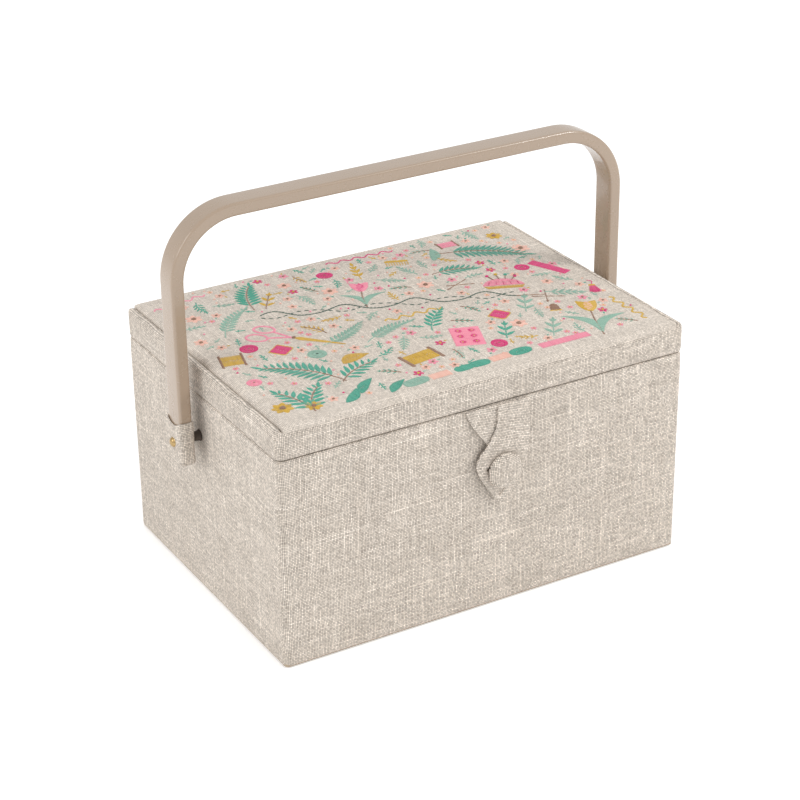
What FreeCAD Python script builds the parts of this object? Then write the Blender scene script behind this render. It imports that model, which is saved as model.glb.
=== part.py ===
import FreeCAD, Part
import os
import re

# A fabric-covered sewing box: a hinged padded lid, a bail handle on rivets and a lift-out tray.
# Millimetres. The origin is the middle of the base, +X to the right, -Y to the front, +Z up.

# The driving dimensions.
SIZES = {
    # the box and its lid, outside
    "width": 255, "depth": 185, "body_top": 123.8, "lid_low": 124.3, "rim_top": 138.5,
    "crown_top": 145, "corner": 4.5, "welt": 4.2, "groove": 0.4, "crown_round": 6,
    # cloth, boards and the padded lining strips that carry the tray
    "cloth": 0.8, "board": 3, "board_round": 2.2, "lining": 0.6, "liner": 5, "ledge": 80, "pad": 2,
    # the moulded tray
    "tray_gap": 2, "tray_low": 80.2, "tray_tall": 38, "tray_wall": 1.8, "tray_round": 8,
    "divider": 1.6, "divider_top": 104, "grip_radius": 13,
    # the bail handle and its fabric ends
    "leg_gap": 7.4, "bail_thick": 7.6, "bail_wide": 15, "bail_top": 232, "bail_corner": 40,
    "bail_edge": 1.8, "leg_low": 88.6, "sleeve_cloth": 0.9, "sleeve_low": 87.7, "sleeve_top": 114.3,
    # the rivets that it turns on
    "pivot": 100, "rivet_radius": 2, "running": 0.05, "face_gap": 0.15, "head_radius": 2.7,
    "head_tall": 1.2, "head_round": 0.8, "tail_radius": 3.4, "tail_tall": 0.7, "washer": 0.5,
    "washer_radius": 5, "spacer_radius": 5.5,
    # the covered button and the cloth loop
    "button_x": 6.5, "button_z": 85.3, "button_radius": 10.3, "button_tall": 4.2, "button_round": 3,
    "button_stand": 2.9, "button_plate": 1, "plate_radius": 8.6, "shank_radius": 1.5,
    "loop_gap": 0.4, "loop_thick": 1.4, "eye_radius": 5.5, "eye_x": 4.5,
    # what is sewn inside the lid
    "pocket_left": 112, "pocket_right": 44, "pocket_front": 30, "pocket_back": 62,
    "pocket_deep": 6.5, "pocket_cloth": 1, "elastic_wide": 9, "cushion_middle": 82,
    "cushion_half": 22, "cushion_deep": 8, "cushion_round": 2.5,
    # the two ribbon stays and the hinge tape
    "stay_front": 17.5, "stay_back": 30, "stay_low": 119, "stay_top": 131, "stay_thick": 0.8,
    "tape_half": 105, "tape_low": 108, "tape_top": 131, "tape_thick": 0.5,
}
# Places that several parts share, worked out from the sizes above.
PLACES = {
    "half_w": "width / 2", "half_d": "depth / 2",
    "skin_w": "half_w - cloth", "skin_d": "half_d - cloth",
    "wall_w": "skin_w - board", "wall_d": "skin_d - board",
    "floor_top": "cloth + board", "board_top": "body_top - cloth",
    "lid_board_top": "rim_top - cloth", "lid_board_low": "lid_board_top - board",
    "lid_rim_low": "lid_low + cloth", "lining_low": "lid_board_low - lining",
    "welt_x": "half_w - welt", "crown_x": "welt_x - groove",
    "tray_w": "wall_w - lining - tray_gap", "tray_d": "wall_d - lining - tray_gap",
    "tray_in_w": "tray_w - tray_wall", "tray_in_d": "tray_d - tray_wall",
    "tray_floor": "tray_low + tray_wall", "tray_top": "tray_low + tray_tall",
    "leg_in": "half_w + leg_gap", "leg_out": "leg_in + bail_thick",
    "sleeve_in": "leg_in - sleeve_cloth", "sleeve_out": "leg_out + sleeve_cloth",
    "bail_half": "bail_wide / 2", "sleeve_half": "bail_half + sleeve_cloth",
    "hole": "rivet_radius + running", "washer_x": "wall_w - lining - washer",
    "shank_y": "half_d + button_stand", "plate_y": "shank_y + button_plate",
    "loop_back": "half_d + loop_gap",
    "tape_y": "wall_d - lining - tape_thick", "stay_x": "tray_w + 0.5",
}
# The loop seen from the front, as (x, z): two legs from under the lid, gathered where they
# cross, round the button and down to a folded point.
LOOP_OUTLINE = [
    (-15.8, 123.6), (-3.6, 102.5), (-9.5, 93), (-8.5, 86), (-3, 77), (3.2, 66.5),
    (14, 73), (20.5, 84), (22.5, 98), (23, 123.6),
]

doc = FreeCAD.newDocument("sewing_box")
sheet = doc.addObject("Spreadsheet::Sheet", "Sizes")
cells = {**{k: str(v) for k, v in SIZES.items()}, **{k: "=" + v for k, v in PLACES.items()}}
for row, (alias, content) in enumerate(cells.items(), start=1):
    sheet.set(f"A{row}", alias)
    sheet.set(f"B{row}", content)
    sheet.setAlias(f"B{row}", alias)
doc.recompute()

pieces = []


def value(alias):
    return float(sheet.get(alias))


def bind(thing, prop, text):
    """Sets a property from an expression in the sheet's own words."""
    thing.setExpression(prop, re.sub(r"[a-z]\w*", lambda word: "Sizes." + word[0], text))


def keep(thing, label):
    """Marks a finished sub-part: its label is the name of its file."""
    thing.Label = label
    pieces.append(thing)
    return thing


def block(name, x, y, z):
    """A box between two bounds in each direction, each given as two expressions."""
    box = doc.addObject("Part::Box", name)
    for axis, side, (low, high) in zip("xyz", ("Length", "Width", "Height"), (x, y, z)):
        bind(box, side, f"({high}) - ({low})")
        bind(box, f"Placement.Base.{axis}", low)
    doc.recompute()
    return box


def wide(text):
    """The bounds of something centred on its axis."""
    return f"-({text})", text


def rod(name, radius, axis, low, high, across=("0", "0")):
    """A cylinder along X or Y, centred on the other two directions as told."""
    rod_ = doc.addObject("Part::Cylinder", name)
    bind(rod_, "Radius", radius)
    bind(rod_, "Height", f"({high}) - ({low})")
    turn = {"x": ((0, 1, 0), 90), "y": ((1, 0, 0), -90)}[axis]
    rod_.Placement.Rotation = FreeCAD.Rotation(FreeCAD.Vector(*turn[0]), turn[1])
    bind(rod_, f"Placement.Base.{axis}", low)
    bind(rod_, "Placement.Base.y" if axis == "x" else "Placement.Base.x", across[0])
    bind(rod_, "Placement.Base.z", across[1])
    doc.recompute()
    return rod_


def cut(name, base, *tools):
    tool = tools[0] if len(tools) == 1 else fuse(name + "_tools", *tools)
    result = doc.addObject("Part::Cut", name)
    result.Base = base
    result.Tool = tool
    doc.recompute()
    return result


def fuse(name, *shapes):
    result = doc.addObject("Part::MultiFuse", name)
    result.Shapes = list(shapes)
    doc.recompute()
    return result


def common(name, *shapes):
    result = doc.addObject("Part::MultiCommon", name)
    result.Shapes = list(shapes)
    doc.recompute()
    return result


def rounded(name, base, radius, chosen):
    """Rounds the edges for which chosen(edge, its direction, the base's bounds) is true."""
    result = doc.addObject("Part::Fillet", name)
    result.Base = base
    bounds = base.Shape.BoundBox
    found = []
    for number, edge in enumerate(base.Shape.Edges, start=1):
        if chosen(edge, direction(edge), bounds):
            found.append((number, radius, radius))
    result.Edges = found
    doc.recompute()
    return result


def direction(edge):
    """The axis that a straight edge runs along, or an empty word."""
    if not isinstance(edge.Curve, Part.Line):
        return ""
    along = edge.tangentAt(edge.FirstParameter)
    return "xyz"[max(range(3), key=lambda i: abs(along[i]))]


def upright(edge, along, bounds):
    return along == "z"


def top_edges(edge, along, bounds):
    return along in ("x", "y") and edge.CenterOfMass.z > bounds.ZMax - 0.01


def top_ends(edge, along, bounds):
    return along == "y" and edge.CenterOfMass.z > bounds.ZMax - 0.01


def rounded_slab(name, half_x, half_y, z, radius):
    """A flat block centred on the origin with its four upright edges rounded."""
    return rounded(name, block(name + "_block", wide(half_x), wide(half_y), z), radius, upright)


def pivot_holes(name):
    """One long drill through both sides of the box on the handle's axis."""
    return rod(name, "hole", "x", "-half_w - 30", "half_w + 30", ("0", "pivot"))


def walls(prefix, outer_w, outer_d, thick, z, radius):
    """Front, back, left and right walls of a rectangle; front and back run full width."""
    in_w = f"{outer_w} - {thick}"
    in_d = f"{outer_d} - {thick}"
    front = block(f"{prefix}_front_block", wide(outer_w), (f"-{outer_d}", f"-({in_d})"), z)
    back = block(f"{prefix}_back_block", wide(outer_w), (in_d, outer_d), z)
    left = block(f"{prefix}_left_block", (f"-{outer_w}", f"-({in_w})"), wide(in_d), z)
    right = block(f"{prefix}_right_block", (in_w, outer_w), wide(in_d), z)
    if radius:
        front = rounded(f"{prefix}_front_round", front, radius, lambda e, along, b: (
            along == "z" and e.CenterOfMass.y < b.YMin + 0.01))
        back = rounded(f"{prefix}_back_round", back, radius, lambda e, along, b: (
            along == "z" and e.CenterOfMass.y > b.YMax - 0.01))
    return front, back, left, right


def make_box():
    """The carcass: boards, the cloth on them, the lining strips and the padded floor."""
    keep(block("BaseCover", wide("half_w - 2"), wide("half_d - 2"), ("0", "cloth")), "base_cover")
    base = rounded_slab("BaseBoard", "skin_w", "skin_d", ("cloth", "floor_top"), value("board_round"))
    keep(base, "base_board")
    wall_z = ("floor_top", "board_top")
    boards = walls("Wall", "skin_w", "skin_d", "board", wall_z, value("board_round"))
    keep(boards[0], "wall_front")
    keep(boards[1], "wall_back")
    keep(cut("WallLeft", boards[2], pivot_holes("WallLeftDrill")), "wall_left")
    keep(cut("WallRight", boards[3], pivot_holes("WallRightDrill")), "wall_right")

    outside = rounded_slab("CoverOutside", "half_w", "half_d", ("cloth", "body_top"), value("corner"))
    inside = rounded_slab("CoverInside", "skin_w", "skin_d", ("0", "board_top"), value("board_round"))
    mouth = block("CoverMouth", wide("wall_w"), wide("wall_d"), ("board_top - 1", "body_top + 1"))
    keep(cut("OuterCover", outside, inside, mouth, pivot_holes("CoverDrill")), "outer_cover")

    lined = block("LiningOutside", wide("wall_w"), wide("wall_d"), ("ledge", "body_top"))
    bare = block("LiningInside", wide("wall_w - lining"), wide("wall_d - lining"), ("0", "width"))
    keep(cut("UpperLining", lined, bare, pivot_holes("LiningDrill")), "upper_lining")

    strips = walls("Liner", "wall_w", "wall_d", "liner", ("floor_top", "ledge"), 0)
    for strip, side in zip(strips, ("front", "back", "left", "right")):
        keep(strip, f"liner_{side}")
    floor = ("floor_top", "floor_top + pad")
    keep(block("BasePad", wide("wall_w - liner"), wide("wall_d - liner"), floor), "base_pad")
    washers = {"left": ("-washer_x - washer", "-washer_x"), "right": ("washer_x", "washer_x + washer")}
    for side, x in washers.items():
        disc = rod(f"Washer_{side}_disc", "washer_radius", "x", *x, ("0", "pivot"))
        keep(cut(f"Washer_{side}", disc, pivot_holes(f"Washer_{side}_drill")), f"washer_{side}")
    tape_y = ("tape_y", "tape_y + tape_thick")
    keep(block("HingeTape", wide("tape_half"), tape_y, ("tape_low", "tape_top")), "hinge_tape")
    stays = {"left": ("-stay_x - stay_thick", "-stay_x"), "right": ("stay_x", "stay_x + stay_thick")}
    for side, x in stays.items():
        stay = block(f"Stay_{side}", x, ("-stay_front", "stay_back"), ("stay_low", "stay_top"))
        keep(stay, f"stay_{side}")


def make_button():
    """The covered button: thread shank, back plate and domed cap, standing off the front."""
    at = ("button_x", "button_z")
    shank = rod("ButtonShank", "shank_radius", "y", "-shank_y", "-half_d", at)
    keep(shank, "button_shank")
    keep(rod("ButtonPlate", "plate_radius", "y", "-plate_y", "-shank_y", at), "button_plate")
    cap = rod("ButtonBlank", "button_radius", "y", "-plate_y - button_tall", "-plate_y", at)
    domed = rounded("ButtonCap", cap, value("button_round"), lambda e, along, b: (
        not along and e.CenterOfMass.y < b.YMin + 0.01))
    keep(domed, "button_cap")


def make_lid():
    """The padded lid: board, rim boards, foam, the cloth over them and what is sewn inside."""
    rim_z = ("lid_rim_low", "lid_board_low")
    rims = walls("LidRim", "skin_w", "skin_d", "board", rim_z, value("board_round"))
    for rim, side in zip(rims, ("front", "back", "left", "right")):
        keep(rim, f"lid_rim_{side}")
    board_z = ("lid_board_low", "lid_board_top")
    keep(rounded_slab("LidBoard", "skin_w", "skin_d", board_z, value("board_round")), "lid_board")
    cloth_z = ("lining_low", "lid_board_low")
    keep(block("LidLining", wide("wall_w"), wide("wall_d"), cloth_z), "lid_lining")

    foam_z = ("lid_board_top", "crown_top - cloth")
    foam = block("FoamBlock", wide("crown_x - cloth"), wide("skin_d"), foam_z)
    foam = rounded("LidFoam", foam, value("crown_round") - value("cloth"), top_edges)
    keep(foam, "lid_foam")

    wrap_outside = rounded_slab("LidOutside", "half_w", "half_d", ("lid_low", "rim_top"), value("corner"))
    inside_z = ("lid_rim_low", "lid_board_top")
    wrap_inside = rounded_slab("LidInside", "skin_w", "skin_d", inside_z, value("board_round"))
    wrap_mouth = block("LidMouth", wide("wall_w"), wide("wall_d"), ("lid_low - 1", "lid_rim_low + 1"))
    for side, x in (("left", ("-half_w - 1", "-welt_x")), ("right", ("welt_x", "half_w + 1"))):
        end = block(f"Band_{side}_end", x, wide("half_d + 1"), ("lid_low - 1", "rim_top + 1"))
        band = common(f"Band_{side}_solid", wrap_outside, end)
        keep(cut(f"Band_{side}", band, wrap_inside, wrap_mouth), f"lid_band_{side}")
    middle = block("TopMiddle", wide("crown_x"), wide("half_d + 1"), ("lid_low - 1", "rim_top + 1"))
    wrap = common("TopWrap", wrap_outside, middle)
    crown = block("CrownBlock", wide("crown_x"), wide("half_d"), ("lid_board_top", "crown_top"))
    crown = rounded("Crown", crown, value("crown_round"), top_edges)
    cover = cut("TopCover", fuse("TopSolid", wrap, crown), foam, wrap_inside, wrap_mouth)
    keep(cover, "lid_top_cover")

    pocket_z = "lining_low - pocket_deep"
    pocket_x = ("-pocket_left", "pocket_right")
    pocket_y = ("-pocket_front", "pocket_back")
    pocket = block("PocketOutside", pocket_x, pocket_y, (pocket_z, "lining_low"))
    hollow = block(
        "PocketHollow", ("-pocket_left + pocket_cloth", "pocket_right - pocket_cloth"),
        ("-pocket_front - 1", "pocket_back - pocket_cloth"), (f"{pocket_z} + pocket_cloth", "lining_low + 1"))
    keep(cut("LidPocket", pocket, hollow), "lid_pocket")
    elastic = block(
        "PocketElastic", pocket_x, ("-pocket_front", "-pocket_front + elastic_wide"),
        (f"{pocket_z} - lining", pocket_z))
    keep(elastic, "pocket_elastic")
    cushion = block(
        "CushionBlock", ("cushion_middle - cushion_half", "cushion_middle + cushion_half"),
        wide("cushion_half"), ("lining_low - cushion_deep", "lining_low"))
    cushion = rounded("Pincushion", cushion, value("cushion_round"), lambda e, along, b: (
        along == "z" or e.CenterOfMass.z < b.ZMin + 0.01))
    keep(cushion, "pincushion")


def make_loop():
    """The closing loop: a flat strap with an eye that the button's shank stands in."""
    body = doc.addObject("PartDesign::Body", "LoopBody")
    body.Label = "closure_loop"
    plane = next(f for f in body.Origin.OriginFeatures if f.Role == "XZ_Plane")
    outline = body.newObject("Sketcher::SketchObject", "LoopOutline")
    outline.AttachmentSupport = [(plane, "")]
    outline.MapMode = "FlatFace"
    corners = [FreeCAD.Vector(x, z, 0) for x, z in LOOP_OUTLINE]
    for start, end in zip(corners, corners[1:] + corners[:1]):
        outline.addGeometry(Part.LineSegment(start, end))
    doc.recompute()
    strap = body.newObject("PartDesign::Pad", "LoopStrap")
    strap.Profile = outline
    bind(strap, "Length", "loop_thick")
    eye = body.newObject("Sketcher::SketchObject", "LoopEye")
    eye.AttachmentSupport = [(plane, "")]
    eye.MapMode = "FlatFace"
    middle = FreeCAD.Vector(value("eye_x"), value("button_z"), 0)
    eye.addGeometry(Part.Circle(middle, FreeCAD.Vector(0, 0, 1), value("eye_radius")))
    doc.recompute()
    opening = body.newObject("PartDesign::Pocket", "LoopOpening")
    opening.Profile = eye
    opening.Type = "ThroughAll"
    opening.Midplane = True
    bind(body, "Placement.Base.y", "-loop_back")
    doc.recompute()
    keep(body, "closure_loop")


def make_handle():
    """The bail: one bent bar with its ends in fabric sleeves, drilled for the rivets."""
    outside = block("BailOutside", wide("leg_out"), wide("bail_half"), ("leg_low", "bail_top"))
    outside = rounded("BailOutsideRound", outside, value("bail_corner"), top_ends)
    inside_z = ("leg_low - 1", "bail_top - bail_thick")
    inside = block("BailInside", wide("leg_in"), wide("bail_half + 1"), inside_z)
    inside = rounded("BailInsideRound", inside, value("bail_corner") - value("bail_thick"), top_ends)
    bar = cut("BailBar", outside, inside)
    bar = rounded("BailEased", bar, value("bail_edge"), lambda e, along, b: (
        abs(abs(e.CenterOfMass.y) - b.YMax) < 0.01 and e.BoundBox.ZMax > b.ZMin + 0.01))
    keep(cut("Bail", bar, pivot_holes("BailDrill")), "handle_bail")
    for side, x, leg in (
        ("left", ("-sleeve_out", "-sleeve_in"), ("-leg_out", "-leg_in")),
        ("right", ("sleeve_in", "sleeve_out"), ("leg_in", "leg_out")),
    ):
        blank = block(f"Sleeve_{side}_block", x, wide("sleeve_half"), ("sleeve_low", "sleeve_top"))
        blank = rounded(f"Sleeve_{side}_round", blank, value("bail_edge"), upright)
        room = block(f"Sleeve_{side}_room", leg, wide("bail_half"), ("leg_low", "sleeve_top + 1"))
        sleeve = cut(f"Sleeve_{side}", blank, room, pivot_holes(f"Sleeve_{side}_drill"))
        keep(sleeve, f"handle_sleeve_{side}")


def make_rivets():
    """A rivet on each side: domed head, shank and clinched tail, and a spacer off the wall."""
    for side, mirror in (("left", "-"), ("right", "")):
        def along(name, radius, near, far):
            low, high = (f"-({far})", f"-({near})") if mirror else (near, far)
            return rod(f"{name}_{side}", radius, "x", low, high, ("0", "pivot"))
        shank = along("Shank", "rivet_radius", "washer_x - face_gap", "sleeve_out + face_gap")
        head = along("Head", "head_radius", "sleeve_out + face_gap", "sleeve_out + face_gap + head_tall")
        outer = -1 if mirror else 1
        head = rounded(f"HeadDome_{side}", head, value("head_round"), lambda e, way, b, outer=outer: (
            not way and outer * e.CenterOfMass.x > outer * b.Center.x))
        tail = along("Tail", "tail_radius", "washer_x - face_gap - tail_tall", "washer_x - face_gap")
        keep(fuse(f"Rivet_{side}", shank, head, tail), f"rivet_{side}")
        disc = along("SpacerDisc", "spacer_radius", "half_w + face_gap", "sleeve_in - face_gap")
        hole = along("SpacerDrill", "hole", "half_w - 1", "sleeve_in + 1")
        keep(cut(f"Spacer_{side}", disc, hole), f"spacer_{side}")


def make_tray():
    """The lift-out tray: a tub with finger grips in its ends, and its partitions."""
    tub = rounded_slab("TrayOutside", "tray_w", "tray_d", ("tray_low", "tray_top"), value("tray_round"))
    inner_round = value("tray_round") - value("tray_wall")
    room = rounded_slab("TrayRoom", "tray_in_w", "tray_in_d", ("tray_floor", "tray_top + 1"), inner_round)
    grips = rod("TrayGrips", "grip_radius", "x", "-tray_w - 1", "tray_w + 1", ("0", "tray_top"))
    keep(cut("TrayTub", tub, room, grips), "tray_tub")
    upright_z = ("tray_floor", "divider_top")
    long_y = ("-divider / 2", "divider / 2")
    keep(block("DividerLong", wide("tray_in_w"), long_y, upright_z), "tray_divider_long")
    for name, x, y in (
        ("front_left", "-41", ("-tray_in_d", "-divider / 2")),
        ("front_right", "41", ("-tray_in_d", "-divider / 2")),
        ("back", "28", ("divider / 2", "tray_in_d")),
    ):
        cross = block(f"Divider_{name}", (f"{x} - divider / 2", f"{x} + divider / 2"), y, upright_z)
        keep(cross, f"tray_divider_{name}")


make_box()
make_button()
make_lid()
make_loop()
make_handle()
make_rivets()
make_tray()
doc.recompute()

for thing in doc.Objects:
    if "Invalid" in thing.State or "Error" in thing.State:
        raise RuntimeError(f"{thing.Label} failed: {thing.State}")
os.makedirs("parts", exist_ok=True)
for piece in pieces:
    if piece.Shape.isNull() or not piece.Shape.isValid() or not piece.Shape.Solids:
        raise RuntimeError(f"{piece.Label} has no valid shape")
    piece.Shape.exportStep(f"parts/{piece.Label}.step")
    box = piece.Shape.BoundBox
    print(
        f"{piece.Label:24} {len(piece.Shape.Solids)} solid {piece.Shape.Volume / 1000:8.2f} cm3"
        f"  x {box.XMin:6.1f} {box.XMax:6.1f}  y {box.YMin:6.1f} {box.YMax:6.1f}"
        f"  z {box.ZMin:6.1f} {box.ZMax:6.1f}")
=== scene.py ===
import math

import bmesh
import bpy
import numpy as np
from mathutils import Matrix, Vector


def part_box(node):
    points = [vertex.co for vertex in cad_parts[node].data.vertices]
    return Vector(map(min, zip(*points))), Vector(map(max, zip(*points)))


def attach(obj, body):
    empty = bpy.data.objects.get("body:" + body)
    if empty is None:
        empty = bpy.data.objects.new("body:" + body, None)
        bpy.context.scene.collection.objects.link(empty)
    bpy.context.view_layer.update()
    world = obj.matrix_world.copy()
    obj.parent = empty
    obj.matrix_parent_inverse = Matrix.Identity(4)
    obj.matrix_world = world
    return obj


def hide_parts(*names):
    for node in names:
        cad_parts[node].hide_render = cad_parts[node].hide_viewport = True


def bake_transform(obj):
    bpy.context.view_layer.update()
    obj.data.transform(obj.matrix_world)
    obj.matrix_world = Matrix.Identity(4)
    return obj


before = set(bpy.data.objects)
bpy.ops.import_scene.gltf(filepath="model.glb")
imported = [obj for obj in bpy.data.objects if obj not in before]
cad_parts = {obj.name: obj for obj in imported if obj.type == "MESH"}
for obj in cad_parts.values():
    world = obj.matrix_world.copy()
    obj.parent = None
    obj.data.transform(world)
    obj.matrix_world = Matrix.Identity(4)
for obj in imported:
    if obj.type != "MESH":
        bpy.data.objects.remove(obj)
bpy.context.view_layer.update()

# Lengths are written in millimetres and turned into metres when a mesh is made.
MM = 0.001
PI = math.pi
rng = np.random.default_rng(7)


# ---------------------------------------------------------------- materials

class Value:
    """A number or vector in a node tree, with ordinary arithmetic."""

    def __init__(self, shade, socket):
        self.shade, self.socket = shade, socket

    def __add__(self, other):
        return self.shade.math("ADD", self, other)

    def __sub__(self, other):
        return self.shade.math("SUBTRACT", self, other)

    def __mul__(self, other):
        return self.shade.math("MULTIPLY", self, other)

    def __truediv__(self, other):
        return self.shade.math("DIVIDE", self, other)


class Shade:
    """A material being built. Its methods add nodes and hand back their outputs."""

    def __init__(self, name):
        self.mat = bpy.data.materials.new(name)
        self.mat.use_nodes = True
        self.tree = self.mat.node_tree
        self.tree.nodes.clear()
        out = self.tree.nodes.new("ShaderNodeOutputMaterial")
        self.bsdf = self.tree.nodes.new("ShaderNodeBsdfPrincipled")
        self.tree.links.new(self.bsdf.outputs[0], out.inputs[0])

    def put(self, node, inputs):
        """Link or set a node's inputs, given by name or number."""
        for key, value in inputs.items():
            if isinstance(value, Value):
                self.tree.links.new(value.socket, node.inputs[key])
            else:
                node.inputs[key].default_value = (*value, 1.0) if isinstance(value, tuple) else value

    def node(self, kind, inputs=None, output=0, **props):
        node = self.tree.nodes.new(kind)
        for key, value in props.items():
            setattr(node, key, value)
        self.put(node, inputs or {})
        return Value(self, node.outputs[output])

    def math(self, op, *values, clamp=False):
        return self.node("ShaderNodeMath", dict(enumerate(values)), operation=op, use_clamp=clamp)

    def vec(self, x, y, z=0.0):
        return self.node("ShaderNodeCombineXYZ", {0: x, 1: y, 2: z})

    def noise(self, vector, scale, detail=2.0, rough=0.5):
        inputs = {"Vector": vector, "Scale": scale, "Detail": detail, "Roughness": rough}
        return self.node("ShaderNodeTexNoise", inputs)

    def random(self, value):
        return self.node("ShaderNodeTexWhiteNoise", {"W": value}, noise_dimensions="1D")

    def mix(self, fac, a, b):
        return self.node("ShaderNodeMix", {0: fac, 6: a, 7: b}, output=2, data_type="RGBA")

    def scaled(self, colour, factor):
        return self.node("ShaderNodeVectorMath", {0: colour, 3: factor}, operation="SCALE")

    def uv(self):
        flat = self.node("ShaderNodeUVMap", uv_map="UVMap")
        return [self.node("ShaderNodeSeparateXYZ", {0: flat}, output=k) for k in (0, 1)]

    def local(self):
        return self.scaled(self.node("ShaderNodeTexCoord", output="Object"), 1 / MM)

    def bump(self, height, strength, depth):
        inputs = {"Height": height, "Strength": strength, "Distance": depth * MM}
        self.put(self.bsdf, {"Normal": self.node("ShaderNodeBump", inputs)})

    def finish(self, colour, rough, sheen=0.0, metal=0.0, specular=0.5, coat=0.0):
        self.put(self.bsdf, {"Base Color": colour, "Roughness": rough, "Metallic": metal,
                             "Specular IOR Level": specular, "Sheen Weight": sheen,
                             "Sheen Roughness": 0.5, "Coat Weight": coat})
        return self.mat


def woven(name, light, dark, pitch, slub=1.0, sheen=0.12, depth=0.16, rough=0.9, contrast=0.35):
    """Plain weave: threads over and under, each thread with its own tint and slubs, and painted shade where the
    threads dip.
    """
    s = Shade(name)
    u, v = s.uv()
    u = u + s.noise(s.vec(u, v), 0.07, 1.0) * 1.6
    v = v + s.noise(s.vec(v, u, 9.0), 0.07, 1.0) * 1.6
    a, b = u / pitch, v / pitch
    ia, ib = s.math("FLOOR", a), s.math("FLOOR", b)
    ra, rb = (s.math("SINE", s.math("FRACT", x) * PI) for x in (a, b))
    over = s.math("FLOORED_MODULO", ia + ib, 2.0) * 2.0 - 1.0
    warp = ra * (over * rb * 0.45 + 0.55)
    weft = rb * (over * ra * -0.45 + 0.55)
    height = s.math("MAXIMUM", warp, weft)
    on_warp = s.math("GREATER_THAN", warp, weft)

    def strand(index, along, offset):
        """A thread's tint: its own, its thick places and its nubs."""
        thick = s.noise(s.vec(index * 5.37, along * 0.045, offset), 1.0, 1.0)
        nub = s.math("MULTIPLY", thick - 0.60, 7.0, clamp=True)
        return s.random(index + offset) * 0.34 + nub * (0.75 * slub) + thick * 0.25

    pick = strand(ia, v, 3.7) * on_warp + strand(ib, u, 21.3) * s.math("SUBTRACT", 1.0, on_warp)
    fleck = s.noise(s.vec(u, v, 2.0), 1.1, 3.0, 0.75) - 0.5
    cloud = s.noise(s.vec(u, v, 5.0), 0.05, 2.0) - 0.5
    tint = s.math("ADD", pick + cloud * 0.35 + fleck * (1.5 * slub), 0.12, clamp=True)
    cell = s.random(s.math("MULTIPLY_ADD", ib, 57.31, ia)) - 0.5
    pale_warp = s.noise(s.vec(ia * 7.91, v * 0.02, 31.0), 1.0, 0.0)
    pale_weft = s.noise(s.vec(u * 0.02, ib * 7.91, 47.0), 1.0, 0.0)
    pale = s.math("MULTIPLY", s.math("MAXIMUM", pale_warp, pale_weft) - 0.66, 6.0, clamp=True)
    # shade: painted shade in the hollows where a thread dips (height times contrast), plus the real pale slubs
    # and a random tint per crossing
    shade = height * contrast + (1.0 - 0.66 * contrast) + pale * (0.20 * slub) + cell * (0.34 * contrast)
    s.bump(height + tint * 0.5, 0.8, depth)
    return s.finish(s.scaled(s.mix(tint, dark, light), shade), rough, sheen=sheen, specular=0.15)


def thread(name, light, dark, rough=0.42):
    """Embroidery floss: u runs along a stitch, v carries a stitch number and the place across it."""
    s = Shade(name)
    u, v = s.uv()
    own = s.random(s.math("FLOOR", v / 4.0))
    twist = s.math("SINE", u * 6.0 + v * 9.0)
    grain = s.noise(s.vec(u * 0.4, v * 5.0), 1.0, 2.0)
    tint = s.math("ADD", own * 0.65, grain * 0.5, clamp=True)
    s.bump(twist + grain, 0.4, 0.06)
    # The twist is painted into the colour too: painted shade in the grooves between plies and painted highlight
    # on their crowns.
    colour = s.scaled(s.mix(tint, dark, light), twist * 0.08 + 0.94)
    return s.finish(colour, rough, sheen=0.15, specular=0.4)


def moulded(name, light, dark, rough, grain=0.05, coat=0.0, specular=0.5):
    """Moulded plastic: faint flow streaks, fine grain and rubbed patches."""
    s = Shade(name)
    p = s.local()
    fine = s.noise(p, 2.2, 3.0, 0.7)
    tint = s.math("MULTIPLY_ADD", fine, 0.35, s.noise(p, 0.035, 3.0) * 0.6, clamp=True)
    s.bump(fine, 0.25, grain)
    rub = s.noise(p, 0.09, 4.0, 0.65) * 0.16 + (rough - 0.08)
    return s.finish(s.mix(tint, dark, light), rub, coat=coat, specular=specular)


def metal(name, light, dark, rough):
    """Brass with worn patches and fine scratches."""
    s = Shade(name)
    p = s.local()
    worn = s.noise(p, 0.9, 4.0, 0.7)
    s.bump(s.noise(p, 4.0, 3.0), 0.2, 0.03)
    return s.finish(s.mix(worn, dark, light), worn * 0.2 + rough, metal=1.0)


def fibreboard(name):
    """Grey board with short fibres."""
    s = Shade(name)
    p = s.local()
    fibre = s.noise(p, 1.6, 5.0, 0.7)
    tint = fibre * 0.7 + s.noise(p, 0.05, 2.0) * 0.3
    s.bump(fibre, 0.4, 0.1)
    return s.finish(s.mix(tint, (0.30, 0.23, 0.16), (0.52, 0.43, 0.33)), 0.92, specular=0.2)


LINEN = woven("linen_weave", (0.757, 0.683, 0.605), (0.46, 0.402, 0.342), 0.92,
               sheen=0.08, depth=0.2, contrast=1.3)
LINEN_TOP = woven("linen_weave_fine", (0.785, 0.71, 0.632), (0.52, 0.46, 0.395), 0.86,
                  slub=0.8, sheen=0.08, depth=0.18, contrast=0.85)
COTTON = woven("cotton_lining", (0.83, 0.80, 0.73), (0.66, 0.62, 0.54), 0.42, slub=0.4, depth=0.07)
PINK_COTTON = woven("pincushion_cotton", (0.74, 0.30, 0.40), (0.55, 0.17, 0.27), 0.40, slub=0.4, depth=0.07)
RIBBON = woven("satin_ribbon", (0.16, 0.36, 0.34), (0.09, 0.24, 0.23), 0.30, slub=0.3, depth=0.04, rough=0.42)
WADDING = woven("soft_wadding", (0.86, 0.86, 0.84), (0.74, 0.74, 0.72), 1.4, slub=0.3, depth=0.3)
HANDLE = moulded("handle_plastic", (0.365, 0.272, 0.195), (0.32, 0.235, 0.165), 0.27, 0.015,
                 coat=0.4, specular=0.8)
TRAY = moulded("tray_plastic", (0.80, 0.77, 0.70), (0.74, 0.70, 0.62), 0.28, 0.02, coat=0.3)
WASHER = moulded("washer_plastic", (0.50, 0.43, 0.34), (0.40, 0.33, 0.26), 0.5)
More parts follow.
